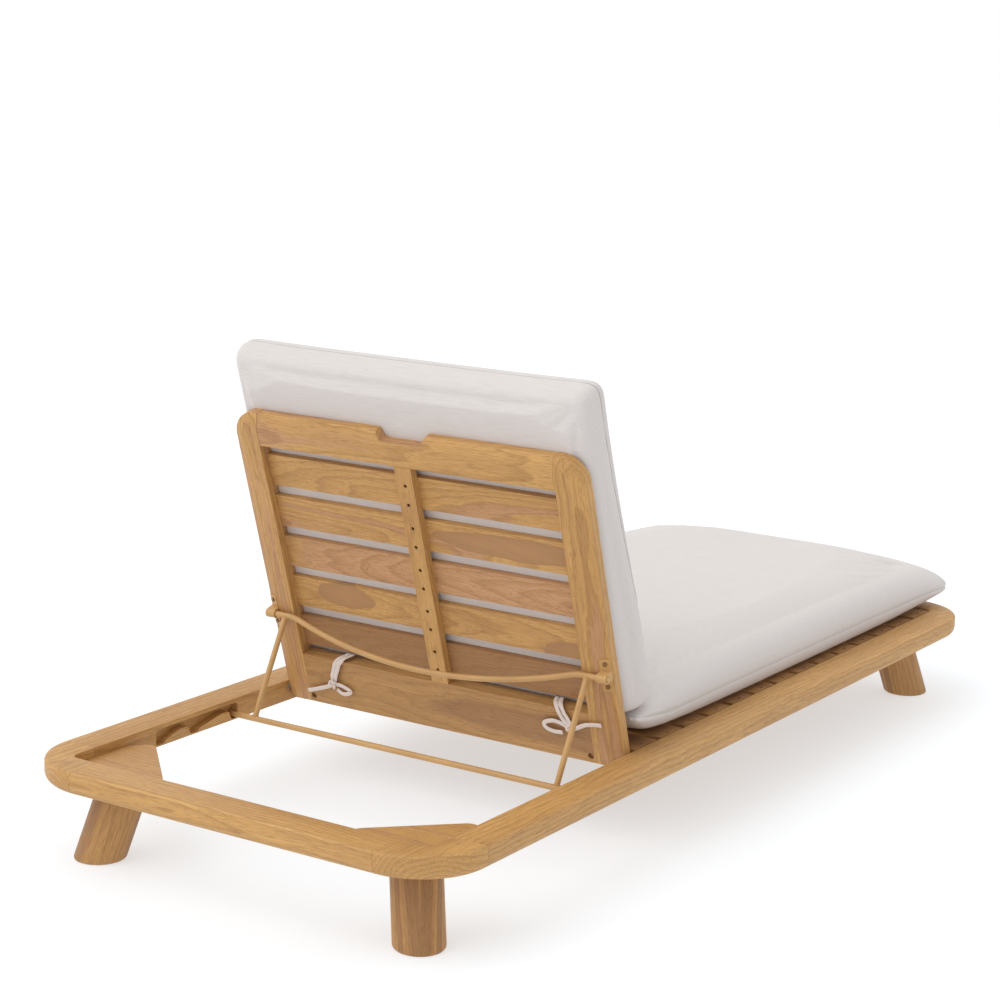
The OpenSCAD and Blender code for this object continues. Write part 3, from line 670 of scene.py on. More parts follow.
@dataclass(frozen=True)
class Tape(Finish):
    """Woven cotton tape: a pinkish off-white with a herringbone weave across its width."""

    name: str = "tape_cotton"
    colour: str = "#E9DDD6"
    shade: str = "#C9B9AF"
    thread: float = 1.6

    def surface(self, node: Callable) -> dict:
        """Draws the weave."""
        weave = node("TexWave", {"bands_direction": "DIAGONAL"},
                     {"Vector": node("TexCoord").outputs["Object"],
                      "Scale": wave_scale(self.thread), "Distortion": 0.8}).outputs["Fac"]
        tone = node("Mix", {"data_type": "RGBA"},
                    {"Factor": weave, 6: linear(self.shade), 7: linear(self.colour)})
        bump = node("Bump", {}, {"Strength": 0.4, "Distance": 0.2 * MM, "Height": weave})
        return {"Base Color": tone.outputs[2], "Roughness": 0.9, "Specular IOR Level": 0.2,
                "Normal": bump.outputs[0]}


@dataclass(frozen=True)
class Coated(Finish):
    """Powder coat, bare metal or moulded plastic: one even colour with a fine orange peel."""

    colour: str
    worn: str
    roughness: float = 0.45
    metallic: float = 0.0
    peel: float = 1.5

    def surface(self, node: Callable) -> dict:
        """Draws the orange peel, and faint clouds of wear."""
        place = node("TexCoord").outputs["Object"]
        peel = node("TexNoise", {}, {"Vector": place, "Scale": 1 / (self.peel * MM), "Detail": 2.0})
        cloud = node("TexNoise", {}, {"Vector": place, "Scale": 14.0, "Detail": 3.0})
        amount = node("MapRange", {},
                      {"Value": cloud.outputs["Fac"], "From Min": 0.4, "From Max": 0.8})
        tone = node("Mix", {"data_type": "RGBA"}, {"Factor": amount.outputs[0],
                                                   6: linear(self.colour), 7: linear(self.worn)})
        bump = node("Bump", {},
                    {"Strength": 0.2, "Distance": 0.1 * MM, "Height": peel.outputs["Fac"]})
        return {"Base Color": tone.outputs[2], "Roughness": self.roughness,
                "Metallic": self.metallic, "Normal": bump.outputs[0]}


@dataclass(frozen=True)
class Floor(Finish):
    """Plain white studio floor, lit from below, so that shadows on it stay pale."""

    name: str = "studio_floor"
    colour: str = "#B2B6BA"
    glow: float = 0.56

    def surface(self, node: Callable) -> dict:
        """Gives the floor its colour and its glow."""
        return {"Base Color": linear(self.colour), "Roughness": 1.0, "Specular IOR Level": 0.0,
                "Emission Color": (1.0, 1.0, 1.0, 1.0), "Emission Strength": self.glow}


@dataclass
class Finishes:
    """All finishes of the lounger, each made once."""

    teak: Teak = Teak()
    # Browner teak for the low pieces, the legs and the bottom rail and lowest slat of the back: partly
    # the boards' own tone, partly painted shade
    brown: Teak = Teak(name="teak_oiled_brown_painted_shade", golden="#C0935A", rose="#A47A50")
    # Dull darker teak for the seat slats, ledgers and cross rail: painted shade under the cushion
    low: Teak = Teak(name="teak_oiled_painted_shade_under_cushion", golden="#B08351", rose="#9A714A")
    canvas: Canvas = Canvas()
    # The same cloth with its seam line drawn pale: a painted highlight where the seat's seam faces the
    # light
    canvas_seam_highlight: Canvas = Canvas(name="canvas_woven_painted_seam_highlight", seam="#B9B3AE")
    tape: Tape = Tape()
    # Powder-coated mild steel rod, in the golden tan of the timber: a low even sheen
    rod: Coated = Coated("powder_coated_rod", "#C1975F", "#B38954", roughness=0.42)
    # Stainless steel, bright-drawn: small sharp glints at screws and bolts
    steel: Coated = Coated("stainless_steel", "#C9C7C3", "#B2AFAA", roughness=0.3, metallic=1.0)
    # Bronzed steel, a brown oxide coat: dull brown heads at the brackets and at the barrel nuts
    bronzed: Coated = Coated("steel_bronzed", "#8A6840", "#6E5130", roughness=0.48, metallic=0.6)
    # Steel drawn nearly black in the countersunk holes: painted shade of the recesses, the dark dots
    # down the centre stile
    recess_shade_steel: Coated = Coated("steel_painted_recess_shade", "#2E241B", "#241C15", roughness=0.6, metallic=0.4)
    # Nylon, moulded in its natural beige: a dull ring at the hinge
    bush: Coated = Coated("nylon_moulded", "#9C8160", "#8E7454", roughness=0.6)
    made: dict = field(default_factory=dict)

    def get(self, finish: Finish) -> bpy.types.Material:
        """The material of a finish, made when first asked for."""
        if finish.name not in self.made:
            self.made[finish.name] = finish.material()
        return self.made[finish.name]


FINISHES = Finishes()


def finish_piece(obj: Object, body: Body, finish: Finish) -> Object:
    """Dresses a piece, and makes it ride on its body.

    Args:
        obj: The piece.
        body: The body that it rides on.
        finish: Its finish.

    Returns:
        The piece.
    """
    obj.data.materials.clear()
    obj.data.materials.append(FINISHES.get(finish))
    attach(obj, body.value)
    log.info("%s on %s", obj.name, body.value)
    return obj


def finish_timber(obj: Object, body: Body, sawing: Sawing, finish: Teak | None = None) -> Object:
    """Marks a timber piece's grain and dresses it."""
    sawing.mark(obj)
    return finish_piece(obj, body, finish or FINISHES.teak)


def timber(node: str, body: Body, sawing: Sawing, ease_w: float,
           finish: Teak | None = None) -> Object:
    """Makes and dresses the timber piece that stands for a node of the frame.

    Args:
        node: The node.
        body: The body that it rides on.
        sawing: How it was sawn.
        ease_w: Width of the easing of its edges, in millimetres.
        finish: Its finish, or None for the plain one.

    Returns:
        The piece.
    """
    return finish_timber(solid_copy(node, f"timber_{node}", ease_w), body, sawing, finish)


# ---- Studio ----


@dataclass
class Studio:
    """Camera, lights and floor."""

    lens: float = 89.9
    eye: tuple = (-2498.9, 4006.3, 1522.8)
    yaw: float = 0.581
    pitch: float = -0.207
    roll: float = 0.024
    floor_half: float = 14.0
    sky_strength: float = 1.0
    sky_low: float = 0.62
    sky_from: tuple = (0.85, -0.35, 0.4)
    key_strength: float = 1.0
    key_angle: float = 55.0
    key_from: tuple = (0.42, 0.7, 1.0)

    def camera(self) -> None:
        """Sets up the camera."""
        forward = Vector((math.sin(self.yaw) * math.cos(self.pitch),
                          -math.cos(self.yaw) * math.cos(self.pitch), math.sin(self.pitch)))
        right = forward.cross(Vector((0, 0, 1))).normalized()
        up = right.cross(forward)
        turn_right = right * math.cos(self.roll) + up * math.sin(self.roll)
        turn_up = up * math.cos(self.roll) - right * math.sin(self.roll)
        data = bpy.data.cameras.new("camera")
        data.lens = self.lens
        data.clip_end = 100.0
        camera = bpy.data.objects.new("camera", data)
        axes = Matrix((turn_right, turn_up, -forward)).transposed()
        camera.matrix_world = Matrix.Translation(Vector(self.eye) * MM) @ axes.to_4x4()
        bpy.context.scene.collection.objects.link(camera)
        bpy.context.scene.camera = camera

    def lights(self) -> None:
        """Sets up a sky, brighter on one side, and a broad soft key light."""
        scene = bpy.context.scene
        scene.view_settings.view_transform = "Standard"
        world = bpy.data.worlds.new("studio")
        scene.world = world
        world.use_nodes = True
        world.node_tree.nodes.clear()
        node = partial(add_node, world.node_tree)
        toward = node("TexCoord")
        facing = node("VectorMath", {"operation": "DOT_PRODUCT"},
                      {0: toward.outputs["Generated"], 1: tuple(Vector(self.sky_from).normalized())})
        strength = node("MapRange", {}, {"Value": facing.outputs["Value"], "From Min": -0.9,
                                         "From Max": 0.2, "To Min": self.sky_low,
                                         "To Max": self.sky_strength})
        sky = node("Background", {},
                   {"Color": (1.0, 1.0, 1.0, 1.0), "Strength": strength.outputs[0]})
        node("OutputWorld", {}, {"Surface": sky.outputs[0]})
        data = bpy.data.lights.new("key", "SUN")
        data.energy = self.key_strength
        data.angle = math.radians(self.key_angle)
        key = bpy.data.objects.new("key", data)
        key.rotation_euler = (-Vector(self.key_from)).to_track_quat("-Z", "Y").to_euler()
        scene.collection.objects.link(key)

    def floor(self) -> None:
        """Lays the floor."""
        half = self.floor_half / MM
        corners = np.array([(-half, -half, 0), (half, -half, 0), (half, half, 0), (-half, half, 0)])
        floor = new_object("floor", corners, [(0, 1, 2, 3)])
        floor.data.materials.append(Floor().material())


# ---- Ring ----


@dataclass
class Ring:
    """Four rails and four corner blocks, rounded outside, with joint lines between them."""

    edge_r: float = 6
    round_r: float = 20
    taper: float = 12
    inner_corner_r: float = 18
    inner_ease: float = 1.8
    joint_line: float = 0.7
    corner_steps: int = 30
    pocket_depth: float = 16
    pocket_top: float = 177
    # How far the pocket reaches from the bar, towards the foot and towards the head
    pocket_reach: tuple = (7.1, 222.8)
    pocket_end_r: float = 7
    floor_r: float = 5
    notch_floor: float = 147.4
    tooth_top: float = 164
    ramp_foot: float = 152.5
    # Gap left in a joint line, so that a rail and a corner block don't share a face
    joint_gap: float = 0.06
    sharp_from: float = 28
    # Where each tooth starts, ends its top, and ends its ramp, along the rail
    teeth: tuple = ((523, 551, 611), (640, 668, 706))

    def __post_init__(self) -> None:
        """Takes the main sizes from the frame."""
        low, high = box_mm("side_rail_left")
        self.inner_w, self.outer_w = low[0], high[0]
        self.rail_half, self.z0, self.height = high[1], low[2], high[2] - low[2]
        self.width = self.outer_w - self.inner_w
        self.outer_l = box_mm("head_rail")[1][1]
        self.inner_l = self.outer_l - self.width
        self.end_half = box_mm("head_rail")[1][0]
        pocket = box_mm("prop_rack_bar")
        self.bar_y = (pocket[0][1] + pocket[1][1]) / 2

    def profile(self, inner: float = 0.0) -> Points:
        """Section of a rail.

        Args:
            inner: Where its inner face lies, outwards of the rails' inner faces.

        Returns:
            (outwards, up) of its corners.
        """
        low_a = math.degrees(math.acos((self.round_r - self.taper) / self.round_r))
        drop = self.round_r * math.sin(math.radians(low_a))
        e, w, h = self.inner_ease, self.width, self.height
        return np.array([
            *arc((inner + e, e), e, 270, 180, 3),
            *arc((inner + e, h - e), e, 180, 90, 3),
            *arc((w - self.edge_r, h - self.edge_r), self.edge_r, 90, 0, 7),
            *arc((w - self.round_r, drop), self.round_r, 0, -low_a, 12),
        ])

    def rail(self, name: str, half: float, place: Matrix) -> Object:
        """Makes a straight rail.

        Args:
            name: Name of the piece.
            half: Half its length.
            place: Turns (along, outwards from the inner face, up from the underside) to its place.

        Returns:
            The rail.
        """
        section, gap = self.profile(), self.joint_gap
        drawn_in = self.drawn_in(section)
        rings = []
        for along, flat in ((gap - half, drawn_in), (self.joint_line - half, section),
                            (half - self.joint_line, section), (half - gap, drawn_in)):
            rings.append(moved(np.column_stack([np.full(len(flat), along), flat]), place))
        return loft(name, rings)

    def drawn_in(self, section: Points) -> Points:
        """A section drawn in towards its middle, for the groove of a joint line."""
        return section + unit(section.mean(0) - section) * self.joint_line

    def finish(self, piece: Object, node: str, sawing: Sawing) -> None:
        """Dresses a piece of the ring, which stands for a node."""
        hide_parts(node)
        shade(piece, self.sharp_from)
        finish_timber(piece, Body.FRAME, sawing)

    def pocket_cutter(self, side: int) -> Object:
        """The rack's pocket as a solid: a slot with three notches in its floor.

        Args:
            side: 1 on the left, -1 on the right.

        Returns:
            The cutter.
        """
        y0, y1 = self.bar_y - self.pocket_reach[0], self.bar_y + self.pocket_reach[1]
        floor, top, end_r, r = self.notch_floor, self.pocket_top, self.pocket_end_r, self.floor_r
        line = [*arc((y0 + end_r, top - end_r), end_r, 90, 180, 5),
                *arc((y0 + r, floor + r), r, 180, 270, 4)]
        for start, top_end, ramp_end in self.teeth:
            line += [(start - 3, floor), (start + 4, self.tooth_top - 3),
                     (start + 7, self.tooth_top), (top_end, self.tooth_top),
                     (top_end + 4, self.tooth_top - 0.7), (ramp_end, self.ramp_foot),
                     (ramp_end + 6, floor)]
        line += [*arc((y1 - r, floor + r), r, 270, 360, 4),
                 *arc((y1 - end_r, top - end_r), end_r, 0, 90, 5)]
        rings = [np.array([(side * x, y, z) for y, z in line])
                 for x in (self.inner_w - 3, self.inner_w + self.pocket_depth)]
        return loft("cutter", rings)

    def rails(self) -> None:
        """Makes the four rails; the side rails have the racks."""
        for side, word in SIDES:
            name = f"side_rail_{word}"
            place = Matrix(((0, side, 0, side * self.inner_w), (1, 0, 0, 0), (0, 0, 1, self.z0),
                            (0, 0, 0, 1)))
            rail = self.rail(f"timber_{name}", self.rail_half, place)
            cut(rail, [self.pocket_cutter(side)])
            self.finish(rail, name,
                        Sawing.of(name, (0, 1, 0), (0, 0, 1), pith=48, lean=0.022, tone=0.12))
        for side, name in ((1, "head_rail"), (-1, "foot_rail")):
            place = Matrix(((1, 0, 0, 0), (0, side, 0, side * self.inner_l), (0, 0, 1, self.z0),
                            (0, 0, 0, 1)))
            rail = self.rail(f"timber_{name}", self.end_half, place)
            self.finish(rail, name,
                        Sawing.of(name, (1, 0, 0), (0, 0, 1), pith=42, lean=0.03, tone=0.12))

    def inner_reach(self, angle: float) -> float:
        """How far a corner block's inner face is from the centre of the corner.

        Args:
            angle: Direction, from the side rail's end, in radians.

        Returns:
            The distance.
        """
        reach = self.inner_w - self.end_half
        c = reach - self.inner_corner_r
        small, large = sorted((math.cos(angle), math.sin(angle)))
        if small / large * reach <= c:
            return reach / large
        along = c * (small + large)
        return along + math.sqrt(along**2 - 2 * c**2 + self.inner_corner_r**2)

    def corner_blocks(self) -> None:
        """Makes the four corner blocks, each swept round its corner."""
        reach = self.inner_w - self.end_half

        def ring(section: Points, a: float, sx: int, sy: int) -> Points:
            """Stands a section at an angle of the corner."""
            r = reach + section[:, 0]
            return np.column_stack([sx * (self.end_half + r * math.cos(a)),
                                    sy * (self.rail_half + r * math.sin(a)),
                                    self.z0 + section[:, 1]])

        for sx, sy, words in CORNERS:
            rings = []
            for i in range(self.corner_steps + 1):
                a = math.radians(90) * i / self.corner_steps
                section = self.profile(self.inner_reach(a) - reach)
                if i not in (0, self.corner_steps):
                    rings.append(ring(section, a, sx, sy))
                    continue
                # At each end the block is drawn in, a joint line's width from the full section
                step = (0, sy, 0) if i == 0 else (sx, 0, 0)
                pair = [ring(self.drawn_in(section), a, sx, sy),
                        ring(section, a, sx, sy) + self.joint_line * np.array(step)]
                rings += pair if i == 0 else pair[::-1]
            name = f"corner_{words}"
            self.finish(loft(f"timber_{name}", rings), name,
                        Sawing.of(name, (0, 1, 0), (1, 0, 0), pith=55, lean=0.04, tone=0.1))

    def build(self) -> None:
        """Makes the whole ring."""
        self.rails()
        self.corner_blocks()


# ---- Gussets and legs ----


@dataclass
class Legs:
    """Gussets in the corners, and a leaning round leg under each."""

    diameter: float = 88
    inset: tuple = (38, 30)
    splay: float = 34
    foot_r: float = 6
    top_ease: float = 0.8
    ease: float = 1.6
    steps: int = 48

    def gussets(self) -> None:
        """Makes the gussets."""
        sawing = Sawing.of("gussets", (1, 0, 0), (0, 1, 0), pith=70, tone=0.2)
        finish_timber(solid_copy("corner_gussets", "timber_gussets", self.ease), Body.FRAME, sawing)

    def legs(self, ring: Ring) -> None:
        """Makes the legs: rings cut level from a leaning round post, with a rounded foot edge."""
        height = ring.z0
        lean = math.atan2(math.hypot(self.splay, self.splay), height)
        turns = np.linspace(0, 2 * math.pi, self.steps, endpoint=False)
        across, along = self.diameter / 2, self.diameter / 2 / math.cos(lean)
        d, cross = np.array([1, 1]) / math.sqrt(2), np.array([-1, 1]) / math.sqrt(2)
        levels = [(self.foot_r * (1 - math.cos(a)), self.foot_r * (1 - math.sin(a)))
                  for a in np.radians(np.linspace(0, 90, 7))]
        levels += [(height * t, 0.0) for t in (0.25, 0.5, 0.75)]
        levels += [(height - self.top_ease, 0.0), (height - 0.05, self.top_ease)]
        middle = np.array([ring.inner_w - self.inset[0], ring.inner_l - self.inset[1]])
        for sx, sy, words in CORNERS:
            rings = []
            for z, inset in levels:
                flat = (middle - self.splay * z / height
                        + np.outer((along - inset) * np.cos(turns), d)
                        + np.outer((across - inset) * np.sin(turns), cross))
                rings.append(np.column_stack([sx * flat[:, 0], sy * flat[:, 1],
                                              np.full(self.steps, z)]))
            name = f"leg_{words}"
            leg = loft(f"timber_{name}", rings)
            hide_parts(name)
            shade(leg, 35)
            direction = (-sx * self.splay, -sy * self.splay, height)
            sawing = Sawing.of(name, direction, (sy, -sx, 0), pith=58, lean=0.05, tone=0.4)
            # The legs take the browner teak, darkened partly as painted shade under the ring
            finish_timber(leg, Body.FRAME, sawing, FINISHES.brown)

    def build(self, ring: Ring) -> None:
        """Makes gussets and legs."""
        self.gussets()
        self.legs(ring)


# ---- Seat ----


@dataclass
class Seat:
    """Seat slats on ledgers, with their screws."""

    slat_ease: float = 2.5
    ease: float = 1.0

    def build(self) -> None:
        """Makes the slats, ledgers, cross rail and screws."""
        slats = [n for n in frame["nodes"] if n.startswith("seat_slat_") and n[-1].isdigit()]
        # Slats, ledgers and cross rail take the dull darker teak: painted shade under the cushion
        for node in sorted(slats):
            timber(node, Body.FRAME, Sawing.of(node, (1, 0, 0), (0, 1, 0), pith=45),
                   self.slat_ease, FINISHES.low)
        for node, along in (("seat_ledgers", (0, 1, 0)), ("seat_cross_rail", (1, 0, 0))):
            timber(node, Body.FRAME, Sawing.of(node, along, (0, 0, 1)), self.ease, FINISHES.low)
        screws = solid_copy("seat_slat_screws", "seat_screws")
        finish_piece(screws, Body.FRAME, FINISHES.steel)


# ---- Backrest ----


@dataclass
class Backrest:
    """Slatted frame of the backrest, bevelled behind, with a hand notch in its top rail."""

    angle: float = 72.7
    ease: float = 1.4
    slat_ease: float = 2.0
    stile_ease: float = 0.8
    # From 0, golden, to 1, rose brown
    slat_tones: tuple = (0.35, 0.3, 0.85, 0.1, 1.0)
    # Islands of heartwood: slat, middle (across, up) from the slat's middle, and half sizes
    islands: tuple = ((2, (-205, 2), (190, 23)), (4, (199, 8), (69, 25)),
                      (4, (-309, -31), (85, 33)))
    island_depth: float = 40

    def __post_init__(self) -> None:
        """Takes the hinge from the frame."""
        joint = next(j for j in frame["joints"] if j["name"] == "backrest_recline")
        turn = Matrix.Rotation(math.radians(self.angle), 4, "X")
        self.place = Matrix.Translation(Vector(np.array(joint["pos_m"]) / MM)) @ turn
        self.up = tuple(self.place.to_3x3() @ Vector((0, 1, 0)))

    def build(self) -> None:
        """Makes stiles, rails, slats and their screws."""
        across = (1, 0, 0)
        for _, word in SIDES:
            node = f"back_stile_{word}"
            timber(node, Body.BACKREST,
                   Sawing.of(node, self.up, across, pith=50, lean=0.02, tone=0.3), self.ease)
        # The bottom rail takes the browner teak, darkened partly as painted shade low on the back
        for node, pith, finish in (("back_top_rail", 60, None),
                                   ("back_bottom_rail", 40, FINISHES.brown)):
            timber(node, Body.BACKREST, Sawing.of(node, across, self.up, pith=pith, lean=0.05),
                   self.ease, finish)
        timber("back_centre_stile", Body.BACKREST,
               Sawing.of("centre", self.up, across, pith=70, lean=0.03, tone=0.3), self.stile_ease)
        for number, tone in enumerate(self.slat_tones, start=1):
            node = f"back_slat_{number}"
            sawing = Sawing.of(node, across, self.up, pith=38, lean=0.07, tone=tone)
            islands = tuple((tuple(sawing.in_log(np.array([(*middle, 0.0)]))[0]),
                             (*half, self.island_depth))
                            for owner, middle, half in self.islands if owner == number)
            finish = Teak(name=f"teak_oiled_{node}", islands=islands) if islands else None
            # The lowest slat takes the browner teak, darkened partly as painted shade low on the back
            if tone == 1.0:
                finish = FINISHES.brown
            timber(node, Body.BACKREST, sawing, self.slat_ease, finish)
        screws = solid_copy("back_slat_screws", "back_screws")
        # The slat screws are drawn nearly black: painted shade of their recessed holes
        finish_piece(screws, Body.BACKREST, FINISHES.recess_shade_steel)


# ---- Hardware and prop ----


@dataclass
class Hardware:
    """Hinge bushes, bolts and nuts, saddle brackets, and the hidden studs and dowels."""

    ease: float = 0.5
    hidden_ease: float = 0.8

    def build(self) -> None:
        """Dresses the hardware."""
        for node, body, finish in (("hinge_bolts", Body.BACKREST, FINISHES.steel),
                                   ("hinge_barrel_nuts", Body.BACKREST, FINISHES.bronzed),
                                   ("saddle_screws", Body.BACKREST, FINISHES.bronzed),
                                   ("leg_studs", Body.FRAME, FINISHES.steel)):
            finish_piece(solid_copy(node, f"steel_{node}"), body, finish)
        finish_piece(solid_copy("hinge_bushes", "nylon_bushes", self.ease), Body.FRAME,
                     FINISHES.bush)
        finish_piece(solid_copy("saddle_brackets", "brackets", self.ease), Body.BACKREST,
                     FINISHES.rod)
        for node in ("rail_tenons", "gusset_dowels"):
            timber(node, Body.FRAME, Sawing.of(node, (0, 1, 0), (1, 0, 0)), self.hidden_ease)


@dataclass
class Prop:
    """Bent-rod prop: a bowed rod in the brackets, two arms, and the bar that stands in the racks."""

    rod_d: float = 11
    arm_x: float = 333
    bow_depth: float = 50
    bow_half: float = 326
    bow_r: float = 1000
    # Corners of a weld bead: outwards of the rod's face, and along the arm
    bead: tuple = ((-1.2, 0), (1.3, 0.6), (1.5, 1.6), (0.6, 3.0), (-0.6, 3.8))
    bead_in: float = 0.32
    end_inset: float = 1.6

    def __post_init__(self) -> None:
        """Takes the pivot and the bar from the frame."""
        joint = next(j for j in frame["joints"] if j["name"] == "prop_swing")
        pivot = np.array(joint["pos_m"]) / MM
        low, high = box_mm("prop_rack_bar")
        self.bar_half = high[0]
        to_bar = (low + high) / 2 - pivot
        self.length = math.hypot(to_bar[1], to_bar[2])
        self.top_half = box_mm("prop_top_rod")[1][0]
        angle = math.atan2(to_bar[2], to_bar[1])
        self.place = Matrix.Translation(Vector(pivot)) @ Matrix.Rotation(angle, 4, "X")

    def bow_line(self) -> Points:
        """Line of the top rod: straight in the brackets, bowed towards the bar between the arms."""
        a0 = 2 * math.atan(self.bow_depth / self.bow_half)
        end_r = self.bow_half / math.sin(a0) - self.bow_r
        turn = arc((self.bow_half, end_r), end_r, 270, 270 - math.degrees(a0), 8)
        bow = [(self.bow_r * math.sin(a), self.bow_depth - self.bow_r * (1 - math.cos(a)))
               for a in np.linspace(a0, 0, 21)[1:]]
        ends = [(self.top_half - self.end_inset, 0.0), (self.bow_half + 20, 0.0)]
        half = np.array([*ends, *turn, *bow])
        left = half[-2::-1] * (-1, 1)
        return np.column_stack([np.vstack([half, left]), np.zeros(2 * len(half) - 1)])

    def rod(self, name: str, node: str, line: Points, diameter: float) -> None:
        """Makes a rod.

        Args:
            name: Name of the piece.
            node: The node that it stands for.
            line: Points down its middle, in the prop's own frame.
            diameter: Its diameter.
        """
        rod = tube(name, moved(line, self.place), diameter)
        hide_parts(node)
        finish_piece(rod, Body.PROP, FINISHES.rod)

    def welds(self, name: str, x: float) -> None:
        """Makes the two weld beads at the ends of the arm at x."""
        r, inset = self.rod_d / 2, self.rod_d * self.bead_in
        beads = []
        for y, way in ((inset, 1), (self.length - inset, -1)):
            spot = Matrix.Translation((x, y, 0)) @ Matrix.Rotation(math.radians(-90 * way), 4, "X")
            profile = [(r + out, up) for out, up in self.bead]
            beads.append(turned("bead", profile, self.place @ spot))
        welds = join(name, beads)
        shade(welds, 60)
        finish_piece(welds, Body.PROP, FINISHES.rod)

    def build(self) -> None:
        """Makes the rods and the weld beads at their corners."""
        self.rod("rod_top", "prop_top_rod", self.bow_line(), self.rod_d)
        half = self.bar_half - self.end_inset
        line = np.array([(x, self.length, 0) for x in (-half, 0, half)])
        self.rod("rod_bar", "prop_rack_bar", line, self.rod_d)
        for side, word in SIDES:
            x = side * self.arm_x
            line = np.array([(x, y, 0) for y in np.linspace(2, self.length - 2, 5)])
            self.rod(f"rod_arm_{word}", f"prop_arm_{word}", line, self.rod_d - 0.4)
            self.welds(f"welds_{word}", x)


# ---- Mattress ----


def rolled_edge(distance: Points, reach: float, power: float) -> Points:
    """Height of a padded edge, from 0 at the seam to 1 where the face is full.

    Args:
        distance: Distance inside the seam.
        reach: How far in the edge is rounded.
        power: 2 for a round edge, and more for a boxier one.

    Returns:
        The share of the full height.
    """
    t = 1 - np.clip(distance / reach, 0, 1)
    return (1 - t**power) ** (1 / power)


def edge_spaced(low: float, high: float, reach: float, step: float) -> Points:
    """Places from low to high, close together near both ends."""
    turn = reach * (1 - np.cos(np.linspace(0, math.pi / 2, 12)))
    count = max(2, round((high - low - 2 * reach) / step))
    middle = np.linspace(low + reach, high - reach, count + 1)[1:-1]
    return np.concatenate([low + turn, middle, high - turn[::-1]])


@dataclass
class Pad:
    """One cushion of the mattress: two panels of canvas over a filling, sewn at a seam all round.

    Its own frame has X across, Y along and Z through the cushion.
    """

    name: str
    node: str
    body: Body
    place: Matrix
    half: float
    low: float
    high: float
    seam: float
    front: float
    rear: float
    floor: float
    floor_end: float
    outline_inset: float = 3.0
    swell: float = 14.0
    corner_pinch: float = 0.15
    pinch_power: float = 6.0
    sag: float = 6.0
    pinch: float = 4.0
    front_reach: float = 38.0
    rear_reach: float = 22.0
    corner_power: float = 2.6
    step: float = 16.0
    voxel: float = 6.0
    pressure: float = 1.5
    cap: float = 22.0
    frames: int = 20
    # The seam is held where a point is this near to it: a share of a voxel, and from the edge
    held_share: float = 0.7
    held_edge: float = 18.0
    # Groove along the seam: depth, half width, and where from the edge it is full, and fades
    groove: tuple = (3.0, 3.2, 8.0, 14.0)
    side_reach: float = 26.0
    drop: tuple | None = None
    lift: tuple | None = None
    rise: tuple = (0.0, 1.0, 0.0)
    finish: Canvas | None = None

    def seam_at(self, along: Points) -> Points:
        """Height of the seam along the cushion."""
        return self.seam + self._ramp(along, self.rise)

    def shell(self) -> Object:
        """Makes the closed form that is then swelled."""
        inset = self.outline_inset
        xs = edge_spaced(-self.half + inset, self.half - inset, self.front_reach, self.step)
        ys = edge_spaced(self.low + inset, self.high - inset, self.front_reach, self.step)
        gx, gy = np.meshgrid(xs, ys, indexing="ij")
        wide, long = self.half - inset, (self.high - self.low) / 2 - inset
        middle = (self.low + self.high) / 2
        r = self.front_reach
        u = np.clip(1 - (wide - np.abs(gx)) / r, 0, 1)
        v = np.clip(1 - (long - np.abs(gy - middle)) / r, 0, 1)
        # In the corners the square grid is drawn in to a rounded outline
        level = np.maximum(u, v)
        length = (u**self.corner_power + v**self.corner_power) ** (1 / self.corner_power)
        draw = level / np.maximum(length, 1e-9)
        gx = np.where(u > 0, np.sign(gx) * (wide - r * (1 - u * draw)), gx)
        gy = np.where(v > 0, middle + np.sign(gy - middle) * (long - r * (1 - v * draw)), gy)
        inside = r * (1 - level)
        sheets = []
        for top, reach in ((True, self.front_reach), (False, self.rear_reach)):
            share = rolled_edge(inside, min(reach, r), 2.3)
            corner = np.abs((gx / wide) * ((gy - middle) / long)) ** self.pinch_power
            share = share * (1 - self.corner_pinch * corner)
            # The panels start thinner than they are once they have swelled
            swell = self.swell
            height = (self.front - swell - self.seam) if top else (self.seam - self.rear - swell / 2)
            z = self.seam + (share if top else -share) * height
            z = z + (self.seam_at(gy) - self.seam) * (1 - share)
            if top and self.drop:
                z = z - self._ramp(gy, self.drop) * share
            if not top and self.lift:
                z = z + self._ramp(gy, self.lift) * share
            # Between its corners the seam is drawn in
            across, along = gx / wide, (gy - middle) / long
            x = gx * (1 - self.pinch * (1 - along**4) / wide)
            y = middle + (gy - middle) * (1 - self.pinch * (1 - across**4) / long)
            sheets.append(np.stack([x, y, z], axis=2))
        nx, ny = len(xs), len(ys)
        points = np.vstack([sheets[0].reshape(-1, 3), sheets[1].reshape(-1, 3)])
        faces = [(a, a + 1, a + ny + 1, a + ny) for base in (0, nx * ny) for i in range(nx - 1)
                 for a in range(base + i * ny, base + i * ny + ny - 1)]
        obj = new_object(self.name, points, faces)
        bm = bmesh.new()
        bm.from_mesh(obj.data)
        bmesh.ops.remove_doubles(bm, verts=bm.verts, dist=0.05 * MM)
        bmesh.ops.recalc_face_normals(bm, faces=bm.faces)
        bm.to_mesh(obj.data)
        bm.free()
        return obj

    @staticmethod
    def _ramp(along: Points, stretch: tuple) -> Points:
        """A smooth change of height: (start, end, amount)."""
        start, end, amount = stretch
        t = np.clip((along - start) / (end - start), 0, 1)
        return amount * t**1.6

    def remesh(self, obj: Object) -> None:
        """Gives the shell an even mesh."""
        modifier = obj.modifiers.new("even", "REMESH")
        modifier.mode = "VOXEL"
        modifier.voxel_size = self.voxel * MM
        bake_modifiers(obj)

    def inflate(self, obj: Object) -> None:
        """Swells the shell as filled cloth, and keeps the result in its mesh."""
        scene = bpy.context.scene
        count = len(obj.data.vertices)
        before = np.zeros(count * 3)
        obj.data.vertices.foreach_get("co", before)
        normals = np.array([v.normal for v in obj.data.vertices], float)
